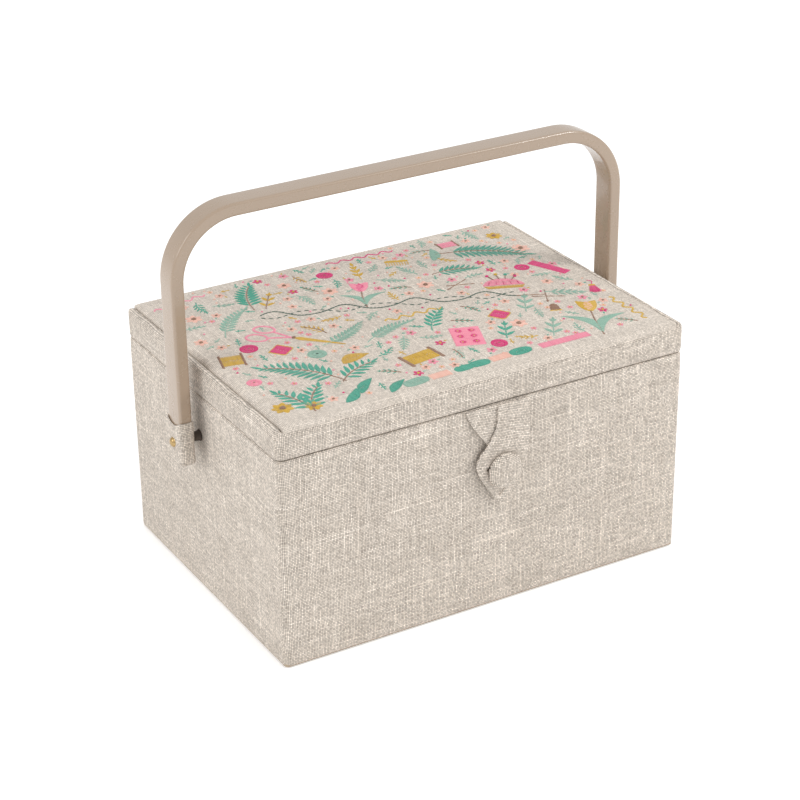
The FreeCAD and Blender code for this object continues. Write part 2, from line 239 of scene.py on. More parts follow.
BRASS = metal("worn_brass", (0.60, 0.43, 0.20), (0.30, 0.20, 0.09), 0.16)
# Near-black spacer colour: painted shade for the dark gap between each handle sleeve and the box wall.
SPACER_PAINTED_SHADE = moulded("spacer_plastic_painted_shade", (0.075, 0.052, 0.036), (0.04, 0.028, 0.02), 0.7)
BOARD = fibreboard("grey_board")
SEWING = thread("sewing_thread", (0.66, 0.58, 0.49), (0.50, 0.43, 0.35))


# ------------------------------------------------------------------ meshes

def linked(name, data, material):
    """Put a mesh in the scene as an object with one material."""
    data.materials.append(material)
    piece = bpy.data.objects.new(name, data)
    bpy.context.scene.collection.objects.link(piece)
    return piece


class Mesh:
    """Collects quads from several grids, with one UV per corner in millimetres."""

    def __init__(self):
        self.points, self.quads, self.uvs, self.count = [], [], [], 0

    def grid(self, P, UV, wrap=False, flip=False):
        m, n = P.shape[:2]
        cells = np.meshgrid(np.arange(m - 1), np.arange(n if wrap else n - 1), indexing="ij")
        i, j = (x.ravel() for x in cells)
        k = (j + 1) % n
        quad = np.stack([i * n + j, i * n + k, (i + 1) * n + k, (i + 1) * n + j], 1) + self.count
        uv = np.stack([UV[i, j], UV[i, j + 1], UV[i + 1, j + 1], UV[i + 1, j]], 1)
        if flip:
            quad, uv = quad[:, ::-1], uv[:, ::-1]
        self.points.append(P.reshape(-1, 3))
        self.quads.append(quad)
        self.uvs.append(uv.reshape(-1, 2))
        self.count += m * n
        return self

    def make(self, name, material, weld=0.0):
        data = bpy.data.meshes.new(name)
        data.from_pydata((np.concatenate(self.points) * MM).tolist(), [], np.concatenate(self.quads).tolist())
        layer = data.uv_layers.new(name="UVMap")
        layer.data.foreach_set("uv", np.concatenate(self.uvs).astype(np.float32).ravel())
        bm = bmesh.new()
        bm.from_mesh(data)
        if weld:
            bmesh.ops.remove_doubles(bm, verts=bm.verts, dist=weld * MM)
        for face in bm.faces:
            face.smooth = True
        bm.to_mesh(data)
        bm.free()
        return linked(name, data, material)


def settle(piece, body, slot, *nodes):
    """Say which body a piece rides on and the CAD nodes that it replaces. The slot argument is not used."""
    if body:
        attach(piece, body)
    if nodes:
        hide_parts(*nodes)
    return piece


def ripple(a, b, size, seed, waves=7):
    """Smooth wandering values near -1..1 over two coordinates."""
    own = np.random.default_rng(seed)
    total = 0.0
    for _ in range(waves):
        turn, reach, phase = own.uniform(0, 2 * PI), own.uniform(0.55, 1.5), own.uniform(0, 2 * PI)
        total = total + np.sin((a * math.cos(turn) + b * math.sin(turn)) * 2 * PI * reach / size + phase)
    return total / waves ** 0.5 / 1.4


def ease(x, low, high):
    """A smooth step from 0 at low to 1 at high."""
    t = np.clip((x - low) / (high - low), 0, 1)
    return t * t * (3 - 2 * t)


def rectangle(hx, hy, r, step=4.0, arc=6):
    """Rounded rectangle: points, outward normals, and the running length with its closing value."""
    pts, nor = [], []
    corners = [(hx - r, hy - r), (-hx + r, hy - r), (-hx + r, -hy + r), (hx - r, -hy + r)]
    for k, (cx, cy) in enumerate(corners):
        for t in np.linspace(k * PI / 2, (k + 1) * PI / 2, arc + 1):
            pts.append((cx + r * math.cos(t), cy + r * math.sin(t)))
            nor.append((math.cos(t), math.sin(t)))
        nx, ny = corners[(k + 1) % 4]
        end = np.array([nx + r * math.cos((k + 1) * PI / 2), ny + r * math.sin((k + 1) * PI / 2)])
        start = np.array(pts[-1])
        n = max(1, int(np.linalg.norm(end - start) / step))
        for q in range(1, n):
            pts.append(tuple(start + (end - start) * q / n))
            nor.append(nor[-1])
    pts, nor = np.array(pts), np.array(nor)
    length = np.concatenate([[0], np.cumsum(np.linalg.norm(np.roll(pts, -1, 0) - pts, axis=1))])
    return pts, nor, length


def running(rows):
    """Running length down a profile of (across, z) rows, for the v coordinate."""
    rows = np.asarray(rows, float)
    return np.concatenate([[0], np.cumsum(np.linalg.norm(np.diff(rows, axis=0), axis=1))])


def sleeve_grid(ring, rows, centre=(0.0, 0.0)):
    """Sweep (inset, z) rows round a ring. Insets and heights may be arrays over the ring."""
    pts, nor, length = ring
    P = np.array([np.column_stack([pts - nor * np.reshape(inset * np.ones(len(pts)), (-1, 1)) + centre,
                                   z * np.ones(len(pts))]) for inset, z in rows])
    v = running([(np.mean(a), np.mean(b)) for a, b in rows])
    UV = np.dstack(np.meshgrid(length, v))
    return P, UV


def wander(P, ring, full, even, uneven, size, seed):
    """Push a swept grid outward by an even and a rippled amount, as far as full allows."""
    push = full * (even + uneven * ripple(ring[2][:-1][None, :], P[..., 2], size, seed))
    P[..., :2] += ring[1][None] * push[..., None]


def lathe(name, rows, origin, axis, material, n=40, pucker=0.0):
    """Turn (along, radius) rows about an axis. UVs are laid flat across the axis."""
    axis = np.array(axis, float)
    side = np.array([0, 0, 1.0])
    other = np.cross(axis, side)
    turn = np.linspace(0, 2 * PI, n + 1)
    widest = max(r for _, r in rows)
    P, UV = [], []
    for d, r in rows:
        wave = r * (1 + pucker * np.sin(turn * 14) * (r / widest) ** 4)
        a, b = wave * np.sin(turn), wave * np.cos(turn)
        P.append((np.array(origin) + axis * d + np.outer(b, side) + np.outer(a, other))[:-1])
        UV.append(np.column_stack([a, b]))
    return Mesh().grid(np.array(P), np.array(UV), wrap=True).make(name, material, weld=0.002)


def tube(mesh, path, r, n=8, number=0):
    """A round cord along a path, UVs as embroidery floss."""
    path = np.asarray(path, float)
    tang = np.gradient(path, axis=0)
    tang /= np.linalg.norm(tang, axis=1)[:, None]
    ref = np.array([0.13, 0.31, 0.94])
    a = np.cross(tang, ref)
    a /= np.linalg.norm(a, axis=1)[:, None]
    b = np.cross(tang, a)
    turn = np.linspace(0, 2 * PI, n, endpoint=False)
    P = path[:, None] + r * (np.cos(turn)[None, :, None] * a[:, None]
                             + np.sin(turn)[None, :, None] * b[:, None])
    u = running(path)
    UV = np.dstack(np.meshgrid(np.linspace(0, 2 * PI * r, n + 1) + 4 * number, u))[:, :, ::-1]
    return mesh.grid(P, UV, wrap=True)


def puffed(name, low, high, r, swell, material, step=5.0, seed=1, dimple=None):
    """A padded block: rounded edges and faces that swell along the given amounts."""
    low, high, swell = (np.array(x, float) for x in (low, high, swell))
    centre, half = (low + high) / 2, (high - low) / 2 - swell
    r = min(r, half.min() * 0.98)
    mesh, lines = Mesh(), []
    for h in half:
        edge = np.linspace(0, r, 5)
        inner = np.linspace(-h + r, h - r, max(3, int(2 * (h - r) / step) + 1))
        lines.append(np.concatenate([-h + edge[:-1], inner, h - edge[::-1][1:]]))
    for k in range(3):
        i, j = (k + 1) % 3, (k + 2) % 3
        A, B = np.meshgrid(lines[i], lines[j], indexing="ij")
        for sign in (-1, 1):
            P = np.zeros(A.shape + (3,))
            P[..., i], P[..., j], P[..., k] = A, B, sign * half[k]
            core = np.clip(P, -(half - r), half - r)
            out = P - core
            P = core + r * out / np.linalg.norm(out, axis=-1)[..., None]
            rel = np.clip(P / half, -1, 1)
            for axis in range(3):
                o1, o2 = (axis + 1) % 3, (axis + 2) % 3
                full = np.sqrt(np.clip(1 - rel[..., o1] ** 4, 0, 1) * np.clip(1 - rel[..., o2] ** 4, 0, 1))
                uneven = 1 + 0.15 * ripple(P[..., o1], P[..., o2], 38, seed + axis)
                P[..., axis] += swell[axis] * full * rel[..., axis] * uneven
            if dimple:
                reach = np.hypot(P[..., 0], P[..., 1])
                P[..., 2] *= 1 - dimple * np.exp(-(reach / 4.5) ** 2)
            UV = np.stack([A, B], -1)
            UV = np.concatenate([UV, UV[:, -1:]], 1)
            mesh.grid(P + centre, UV, flip=sign < 0)
    return mesh.make(name, material, weld=0.002)


def span(node):
    """A CAD node's corners in millimetres."""
    low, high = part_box(node)
    return np.array(low) / MM, np.array(high) / MM


def softened(node, name, body, slot, material, width=0.45):
    """A copy of a CAD piece with its sharp edges rounded."""
    source = bpy.data.objects[node]
    bm = bmesh.new()
    bm.from_mesh(source.data)
    bm.transform(source.matrix_world)
    bmesh.ops.remove_doubles(bm, verts=bm.verts, dist=1e-6)
    bmesh.ops.dissolve_limit(bm, angle_limit=math.radians(0.8), verts=bm.verts, edges=bm.edges)
    sharp = [e for e in bm.edges if len(e.link_faces) == 2 and e.calc_face_angle(0) > math.radians(38)]
    bmesh.ops.bevel(bm, geom=sharp, offset=width * MM, segments=3, profile=0.5,
                    affect="EDGES", clamp_overlap=True)
    bmesh.ops.triangulate(bm, faces=[f for f in bm.faces if len(f.verts) > 4])
    layer = bm.loops.layers.uv.new("UVMap")
    for face in bm.faces:
        k = max(range(3), key=lambda a: abs(face.normal[a]))
        face.smooth = True
        for loop in face.loops:
            co = loop.vert.co / MM
            loop[layer].uv = (co[(k + 1) % 3], co[(k + 2) % 3])
    data = bpy.data.meshes.new(name)
    bm.to_mesh(data)
    bm.free()
    piece = linked(name, data, material)
    for edge in data.edges:
        edge.use_edge_sharp = False
    data.set_sharp_from_angle(angle=math.radians(32))
    return settle(piece, body, slot, node)


# -------------------------------------------------------------- box outside

HX, HY, CORNER = 127.5, 92.5, 4.5

ring = rectangle(HX, HY, CORNER)
rows = [(2.6, 0.75), (1.4, 0.9), (0.55, 1.45), (0.1, 2.5), (0.0, 3.6)]
rows += [(0.0, z) for z in np.linspace(6, 121.5, 34)]
rows += [(0.1, 122.6), (0.45, 123.35), (1.1, 123.75), (2.3, 123.8), (3.3, 123.7), (3.7, 123.0)]
P, UV = sleeve_grid(ring, rows)
full = ease(P[..., 2], 2, 12) * (1 - ease(P[..., 2], 114, 122))
wander(P, ring, full, 0.12, 0.16, 60, 3)
cover = settle(Mesh().grid(P, UV, wrap=True).make("body_cover_cloth", LINEN), "box", "linen", "outer_cover")

xs, ys = np.linspace(-125.6, 125.6, 70), np.linspace(-90.6, 90.6, 52)
X, Y = np.meshgrid(xs, ys)
edge = np.maximum(ease(np.abs(X), 124.2, 125.6), ease(np.abs(Y), 89.2, 90.6))
Z = 0.12 + 0.08 * (1 + ripple(X, Y, 50, 5)) * (1 - edge) + 0.62 * edge
cloth = Mesh().grid(np.dstack([X, Y, Z]), np.dstack([X, Y]), flip=True).make("base_cover_cloth", LINEN)
settle(cloth, "box", "linen", "base_cover")

# ------------------------------------------------------------------- lining

ring = rectangle(123.3, 88.3, 2.4)
rows = [(0.25, 79.6), (0.0, 81.0)] + [(0.0, z) for z in np.linspace(84, 120, 12)]
rows += [(0.0, 122.6), (0.1, 123.3), (-0.35, 123.75), (-0.9, 123.6)]
P, UV = sleeve_grid(ring, rows)
wander(P, ring, 1.0, 0.0, 0.12, 26, 11)
cloth = settle(Mesh().grid(P, UV, wrap=True, flip=True).make("upper_lining_cloth", COTTON),
               "box", "lining_cotton", "upper_lining")

for node, thin in (("liner_front", 1), ("liner_back", 1), ("liner_left", 0), ("liner_right", 0)):
    low, high = span(node)
    swell = [0.0, 0.0, 0.0]
    swell[thin] = 0.9
    pad = puffed(node + "_pad", low, high, 1.6, swell, COTTON, seed=len(node))
    settle(pad, "box", "lining_cotton", node)
low, high = span("base_pad")
pad = settle(puffed("base_pad_cotton", low, high, 0.7, [0, 0, 0.25], COTTON, step=7, seed=4),
             "box", "lining_cotton", "base_pad")

# ---------------------------------------------------------------------- lid

WELT_TOP, FRONT_TOP, CROWN = 140.9, 139.6, 142.8


def crown(x, y):
    """Height of the lid's cloth without its edges."""
    puff = (1 - np.clip(np.abs(x) / 123, 0, 1) ** 2.4) * (1 - np.clip(np.abs(y) / 92, 0, 1) ** 2.4)
    return CROWN + 1.9 * puff + 0.10 * ripple(x, y, 46, 21) * puff


def fall(distance, r, drop):
    """How far the cloth has dropped at this distance from where the edge starts to turn."""
    t = np.clip(distance / r, 0, 1)
    return drop * (1 - np.sqrt(1 - t * t))


def lid_height(x, y):
    merge = 1 - 0.75 * ease(np.abs(y), 83, 90)
    return crown(x, y) - fall(np.abs(x) - 119.6, 3.3, 2.6) * merge - fall(np.abs(y) - 87.2, 4.6, 2.5)


ring = rectangle(HX, HY, CORNER)
side = ease(np.abs(ring[1][:, 0]), 0.25, 0.95)
top = FRONT_TOP + (WELT_TOP - FRONT_TOP) * side
reach = 1.3 + 2.75 * ease(np.abs(ring[1][:, 0]), 0.0, 0.25)
rows = [(3.6, 125.2), (2.2, 124.5), (1.1, 124.3), (0.35, 124.65), (0.0, 125.5)]
rows += [(0.0, z) for z in np.linspace(127.2, 136.0, 6)]
rows += [(0.0, top - 2.2), (0.12, top - 1.25), (0.5, top - 0.5), (1.05, top - 0.08)]
rows += [(1.05 + (reach - 1.05) * t, top + 0.10 * math.sin(PI * t) - 0.05) for t in (0.35, 0.7)]
rows += [(reach - 0.15, top - 0.35), (reach, top - 1.0), (reach, top - 3.2)]
P, UV = sleeve_grid(ring, rows)
mid = ease(P[..., 2], 125, 129) * (1 - ease(P[..., 2], 136, 141))
wander(P, ring, mid, 0.12, 0.14, 52, 8)
band = settle(Mesh().grid(P, UV, wrap=True).make("lid_band_cloth", LINEN),
              "lid", "linen", "lid_band_left", "lid_band_right")

line = np.concatenate([[-122.95], -122.95 + 3.4 * (1 - np.cos(np.linspace(0.25, PI / 2, 7)))])
xs = np.concatenate([line, np.linspace(-118, 118, 119), -line[::-1]])
line = np.concatenate([[-91.75], -91.75 + 4.6 * (1 - np.cos(np.linspace(0.2, PI / 2, 7)))])
ys = np.concatenate([line, np.linspace(-86.5, 86.5, 88), -line[::-1]])


def crown_grid(xs, ys, lift=0.0, skirt=3.0):
    """The crown as a grid whose outermost rows hang down behind the bands."""
    xs, ys = np.concatenate([xs[:1], xs, xs[-1:]]), np.concatenate([ys[:1], ys, ys[-1:]])
    X, Y = np.meshgrid(xs, ys)
    Z = lid_height(X, Y) - lift
    dx, dy = np.abs(X) - xs[-1] + 1.5, np.abs(Y) - ys[-1] + 1.5
    corner = (dx > 0) & (dy > 0)
    pull = np.where(corner, np.maximum(dx, dy) / np.maximum(np.hypot(dx, dy), 1e-6), 1.0)
    X, Y = (np.where(corner, np.sign(X) * (xs[-1] - 1.5 + dx * pull), X),
            np.where(corner, np.sign(Y) * (ys[-1] - 1.5 + dy * pull), Y))
    Z[0], Z[-1] = Z[1] - skirt, Z[-2] - skirt
    Z[:, 0], Z[:, -1] = np.minimum(Z[:, 0], Z[:, 1] - skirt), np.minimum(Z[:, -1], Z[:, -2] - skirt)
    return X, Y, Z


def surface_run(P, axis):
    """How far each point of a grid lies over the surface from the grid's middle, along one axis."""
    steps = np.linalg.norm(np.diff(P, axis=axis), axis=2)
    run = np.insert(np.cumsum(steps, axis=axis), 0, 0.0, axis=axis)
    return run - np.take(run, [run.shape[axis] // 2], axis=axis)


P = np.dstack(crown_grid(xs, ys))
top_cloth = Mesh().grid(P, np.dstack([surface_run(P, 1), surface_run(P, 0)])).make("lid_top_cloth", LINEN_TOP)
settle(top_cloth, "lid", "embroidered_linen", "lid_top_cover")

mesh = Mesh()
X, Y, Z = crown_grid(xs[::2] * 0.992, ys[::2] * 0.992, 0.9, 1.5)
Z = np.maximum(Z, 138.1)
mesh.grid(np.dstack([X, Y, Z]), np.dstack([X, Y]))
floor = np.full(Z.shape, 137.75)
mesh.grid(np.dstack([X, Y, floor]), np.dstack([X, Y]), flip=True)
for a, b in (((0, slice(None)), 0), ((-1, slice(None)), 1), ((slice(None), 0), 2), ((slice(None), -1), 3)):
    top_edge = np.column_stack([X[a], Y[a], Z[a]])
    low_edge = np.column_stack([X[a], Y[a], floor[a]])
    strip = np.array([low_edge, top_edge])
    mesh.grid(strip, np.dstack(np.meshgrid(np.arange(strip.shape[1]) * 4.0, [0, 4.0])), flip=b in (1, 2))
wad = settle(mesh.make("lid_wadding", WADDING, weld=0.01), "lid", "wadding", "lid_foam")

rim_l, rim_f = span("lid_rim_left"), span("lid_rim_front")
inner_x, inner_y = -rim_l[1][0] - 0.25, -rim_f[1][1] - 0.25
ring = rectangle(inner_x, inner_y, 1.6)
rows = [(-3.0, 124.75), (-1.9, 124.55), (-0.7, 124.75), (0.0, 125.5)]
rows += [(0.0, z) for z in np.linspace(127, 132.6, 4)]
rows += [(0.15, 133.6), (0.6, 134.0), (1.4, 134.05)]
mesh = Mesh()
P, UV = sleeve_grid(ring, rows)
mesh.grid(P, UV, wrap=True, flip=True)
xs2, ys2 = np.linspace(-inner_x + 1.2, inner_x - 1.2, 90), np.linspace(-inner_y + 1.2, inner_y - 1.2, 66)
X, Y = np.meshgrid(xs2, ys2)
hold = ease(inner_x - np.abs(X), 1, 9) * ease(inner_y - np.abs(Y), 1, 9)
mesh.grid(np.dstack([X, Y, 134.05 - hold * (0.25 + 0.2 * ripple(X, Y, 42, 14))]), np.dstack([X, Y]), flip=True)
cloth = settle(mesh.make("lid_lining_cloth", COTTON), "lid", "lining_cotton", "lid_lining")

# pocket in the lid, gathered on an elastic band
low, high = span("lid_pocket")
xs2, ys2 = np.linspace(low[0], high[0], 200), np.linspace(low[1] + 1.0, high[1], 60)
X, Y = np.meshgrid(xs2, ys2)
rim = ease(X - low[0], 0, 9) * ease(high[0] - X, 0, 9) * ease(high[1] - Y, 0, 16)
gather = (1 - ease(Y, low[1] + 10, low[1] + 58)) * rim
bag = (rim * (4.9 + 0.5 * ripple(X, Y, 40, 17))
       + gather * 0.75 * np.sin((X + 2.5 * ripple(X, Y, 60, 18)) * 2 * PI / 7.6))
Z = np.clip(133.9 - bag, 127.75, 134.0)
pocket = Mesh().grid(np.dstack([X, Y, Z]), np.dstack([X * 1.15, Y]), flip=True).make("lid_pocket_cloth", COTTON)
settle(pocket, "lid", "lining_cotton", "lid_pocket")

low, high = span("pocket_elastic")
section, _, around = rectangle(4.4, 0.42, 0.35, step=1.1, arc=3)
xs2 = np.linspace(low[0] + 0.2, high[0] - 0.2, 320)
pinch = np.sin(xs2 * 2 * PI / 3.4) + 0.5 * ripple(xs2, 0 * xs2, 9, 31)
P = np.array([np.column_stack([np.full(len(section), x), -25.5 + section[:, 0] * (1 + 0.012 * w),
                               127.75 + section[:, 1] * 1.2 + 0.22 * w * np.cos(section[:, 0] / 4.4 * PI / 2)])
              for x, w in zip(xs2, pinch)])
UV = np.dstack(np.meshgrid(around, xs2))[:, :, ::-1]
elastic = settle(Mesh().grid(P, UV, wrap=True).make("pocket_elastic_band", RIBBON),
                 "lid", "trim_ribbon", "pocket_elastic")

low, high = span("pincushion")
pad = settle(puffed("pincushion_pad", low, high, 2.6, [0.8, 0.8, 1.6], PINK_COTTON, step=1.6, seed=9,
                    dimple=0.42), "lid", "pincushion_cloth", "pincushion")

# --------------------------------------------------------- hinge and stays

xs2, zs2 = np.linspace(-105, 105, 90), np.linspace(108, 131, 30)
X, Z = np.meshgrid(xs2, zs2)
Y = 87.75 - 0.35 * np.exp(-((Z - 124) / 1.6) ** 2) + 0.08 * ripple(X, Z, 20, 6)
tape = Mesh().grid(np.dstack([X, Y, Z]), np.dstack([X, Z])).make("hinge_tape_cloth", COTTON)
settle(tape, None, "lining_cotton", "hinge_tape")
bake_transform(tape)

for side_name, x in (("left", -122.0), ("right", 122.0)):
    ys2, zs2 = np.linspace(30, -17.5, 60), np.linspace(-4.8, 4.8, 9)
    Y, Z = np.meshgrid(ys2, zs2, indexing="ij")
    X = x + 0.25 * np.sin(Y * 0.45) + 0 * Z
    stay = Mesh().grid(np.dstack([X, Y, Z + 125.4 + 0.5 * np.sin(Y * 0.16)]), np.dstack([Z, -Y]))
    stay = stay.make("stay_%s_ribbon" % side_name, RIBBON)
    settle(stay, None, "trim_ribbon", "stay_" + side_name)
    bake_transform(stay)

# ------------------------------------------------------------ closure loop


def cut_cloth(name, outlines, thick, material, place, weave_turn=0.0):
    """A flat cloth shape with rounded edges, cut fine enough to bend, then moved by place(x, z, y)."""
    mesh = bmesh.new()
    for outline, depth in outlines:
        curve = bpy.data.curves.new(name, "CURVE")
        curve.dimensions = "2D"
        curve.fill_mode = "BOTH"
        curve.extrude = (thick / 2 - 0.25) * MM
        curve.bevel_depth = 0.25 * MM
        curve.bevel_resolution = 2
        for loop in outline:
            spline = curve.splines.new("POLY")
            spline.points.add(len(loop) - 1)
            places = np.column_stack([np.array(loop) * MM, np.zeros(len(loop)), np.ones(len(loop))])
            spline.points.foreach_set("co", places.ravel())
            spline.use_cyclic_u = True
        holder = bpy.data.objects.new(name + "_curve", curve)
        flat = bpy.data.meshes.new_from_object(holder)
        bm = bmesh.new()
        bm.from_mesh(flat)
        bmesh.ops.remove_doubles(bm, verts=bm.verts, dist=1e-6)
        for axis in (0, 1):
            ends = [v.co[axis] for v in bm.verts]
            for at in np.arange(min(ends) + 0.0011, max(ends), 0.0016):
                normal = [0, 0, 0]
                normal[axis] = 1
                bmesh.ops.bisect_plane(bm, geom=bm.verts[:] + bm.edges[:] + bm.faces[:],
                                       plane_co=[at if k == axis else 0 for k in range(3)], plane_no=normal)
        for v in bm.verts:
            v.co = Vector(place(v.co.x / MM, v.co.y / MM, v.co.z / MM, depth)) * MM
        temp = bpy.data.meshes.new(name + "_part")
        bm.to_mesh(temp)
        bm.free()
        mesh.from_mesh(temp)
        bpy.data.meshes.remove(temp)
        bpy.data.meshes.remove(flat)
        bpy.data.objects.remove(holder)
        bpy.data.curves.remove(curve)
    layer = mesh.loops.layers.uv.get("UVMap") or mesh.loops.layers.uv.new("UVMap")
    c, s = math.cos(weave_turn), math.sin(weave_turn)
    for face in mesh.faces:
        face.smooth = True
        for loop in face.loops:
            co = loop.vert.co / MM
            loop[layer].uv = (co.x * c - co.z * s, co.x * s + co.z * c)
    bmesh.ops.recalc_face_normals(mesh, faces=mesh.faces)
    data = bpy.data.meshes.new(name)
    mesh.to_mesh(data)
    mesh.free()
    return linked(name, data, material)


def smooth_path(points, n=10):
    """Catmull-Rom through open points."""
    p = np.array(points, float)
    p = np.vstack([2 * p[0] - p[1], p, 2 * p[-1] - p[-2]])
    out = []
    for k in range(1, len(p) - 2):
        for t in np.linspace(0, 1, n, endpoint=False):
            a, b, c, d = p[k - 1], p[k], p[k + 1], p[k + 2]
            out.append(0.5 * (2 * b + (c - a) * t + (2 * a - 5 * b + 4 * c - d) * t ** 2
                              + (3 * b - a - 3 * c + d) * t ** 3))
    return np.array(out + [p[-2]])


BUTTON = (6.5, 85.3)
TIP = (3.2, 66.3)
left_edge = smooth_path([(4.2, 123.3), (2.2, 112), (-3.2, 102.4), (-8.6, 96.4), (-10.2, 91.4),
                         (-8.8, 85.5), (-4.4, 77.6), TIP])
right_edge = smooth_path([TIP, (10.6, 69.6), (16.8, 76.4), (20.6, 85.5), (22.5, 98), (23.2, 112),
                          (23.3, 123.3)])
front_strap = np.vstack([left_edge[:-1], right_edge])
eye = smooth_path([(-4.9, 87.6), (1, 91.4), (7, 92), (13, 89), (15.5, 85), (12, 80.6), (6, 78.8),
                   (0, 81.4), (-4.9, 87.6)])[:-1]
back_strap = np.vstack([smooth_path([(-15.9, 123.3), (-11.4, 114), (-5.4, 105.5), (-2.0, 101.0), (4.0, 96.5)]),
                        smooth_path([(12, 99), (9.5, 110), (6.8, 123.3)])])


def hang(x, z, y, depth):
    """Lay the strap on the box front, with the front layer riding over the back one."""
    lift = 0.55 * ease(z, 88, 100) * (1 - ease(z, 116, 123)) if depth else 0.0
    pull = 0.8 * math.exp(-((x - BUTTON[0]) ** 2 + (z - BUTTON[1]) ** 2) / 160)
    edge = 0.12 * math.sin(z * 0.5 + x * 0.2)
    stand = 1.0 * ease(123.7 - z, 0, 14) + 0.5 * ease(BUTTON[0] - x, 0, 14) * ease(118 - z, 0, 12)
    return (x, -93.25 - depth - lift - stand - pull * (1 if depth else 0) - edge * 0.5 + y, z)


loop = cut_cloth("closure_loop_cloth", [([front_strap, eye], 0.75), ([back_strap], 0.0)], 0.95,
                 LINEN, hang, 0.35)
settle(loop, "closure_loop", "linen", "closure_loop")

# topstitching and the mitre fold near the point: cords of darker sewing thread, the fold's cord a painted shade
# line for the crease
mesh = Mesh()
for k, (a, b) in enumerate((((4.6, 70.2), (9.6, 76.6)), ((4.0, 69.6), (8.2, 75.0)))):
    path = np.array([(a[0] + (b[0] - a[0]) * t, -96.1 - 0.25 * math.sin(PI * t), a[1] + (b[1] - a[1]) * t)
                     for t in np.linspace(0, 1, 8)])
    tube(mesh, path, 0.24 - 0.08 * k, number=k)
stitch = settle(mesh.make("loop_mitre_fold", SEWING), "closure_loop", "linen")

# ------------------------------------------------------------------ button

rows = [(3.85, 6.4), (3.75, 8.6), (4.05, 9.7), (4.7, 10.25), (5.4, 10.3), (6.2, 9.85), (6.95, 8.7),
        (7.5, 7.0), (7.85, 4.8), (8.03, 2.4), (8.08, 0.02)]
cap = lathe("button_cloth", rows, (BUTTON[0], -92.5, BUTTON[1]), (0, -1, 0), LINEN, n=72, pucker=0.012)
settle(cap, "box", "linen", "button_cap")
rows = [(3.05, 0.02), (3.0, 7.4), (3.2, 8.3), (3.5, 8.6), (3.75, 8.3), (3.85, 7.5), (3.8, 0.02)]
plate = lathe("button_plate_brass", rows, (BUTTON[0], -92.5, BUTTON[1]), (0, -1, 0), BRASS)
settle(plate, "box", "rivet_brass", "button_plate")
turns = np.linspace(0, 9 * 2 * PI, 220)
path = np.column_stack([BUTTON[0] + 1.12 * np.cos(turns), -92.7 - 2.6 * turns / turns[-1],
                        BUTTON[1] + 1.12 * np.sin(turns)])
shank = settle(tube(Mesh(), path, 0.34).make("button_shank_thread", SEWING), "box", "thread", "button_shank")

# ------------------------------------------------------------------ handle

LEG_X, BAR_Z, BAR_LOW, BEND = 138.7, 228.2, 88.7, 36.2
PIVOT = (0, 0, 100)
centre_x, centre_z = LEG_X - BEND, BAR_Z - BEND
turns = np.linspace(0, PI / 2, 20)[1:]
left = [((-LEG_X, z), (-1, 0)) for z in np.linspace(BAR_LOW, centre_z, 26)]
left += [((-centre_x - BEND * math.cos(t), centre_z + BEND * math.sin(t)), (-math.cos(t), math.sin(t)))
         for t in turns]
level = [((x, BAR_Z), (0, 1)) for x in np.linspace(-centre_x, centre_x, 40)[1:-1]]
right = [((-x, z), (-dx, dz)) for (x, z), (dx, dz) in left[::-1]]
path, out = (np.array(part) for part in zip(*(left + level + right)))
section, _, around = rectangle(3.8, 7.5, 1.25, step=0.9, arc=5)
bow = 0.16 * (1 - (np.clip(section[:, 1] / 7.5, -1, 1)) ** 2)
across = section[:, 0] - np.sign(section[:, 0]) * (0.16 - bow)
P = np.array([np.column_stack([p[0] + o[0] * across, section[:, 1], p[1] + o[1] * across])
              for p, o in zip(path, out)])
cap_a, cap_b = P[:1].mean(1, keepdims=True), P[-1:].mean(1, keepdims=True)
P = np.concatenate([np.repeat(cap_a, P.shape[1], 1), P, np.repeat(cap_b, P.shape[1], 1)])
v = running(P[:, 0])
bail = Mesh().grid(P, np.dstack(np.meshgrid(around, v)), wrap=True, flip=True)
bail = bail.make("handle_bail_moulded", HANDLE, weld=0.002)
settle(bail, "handle", "handle_plastic", "handle_bail")

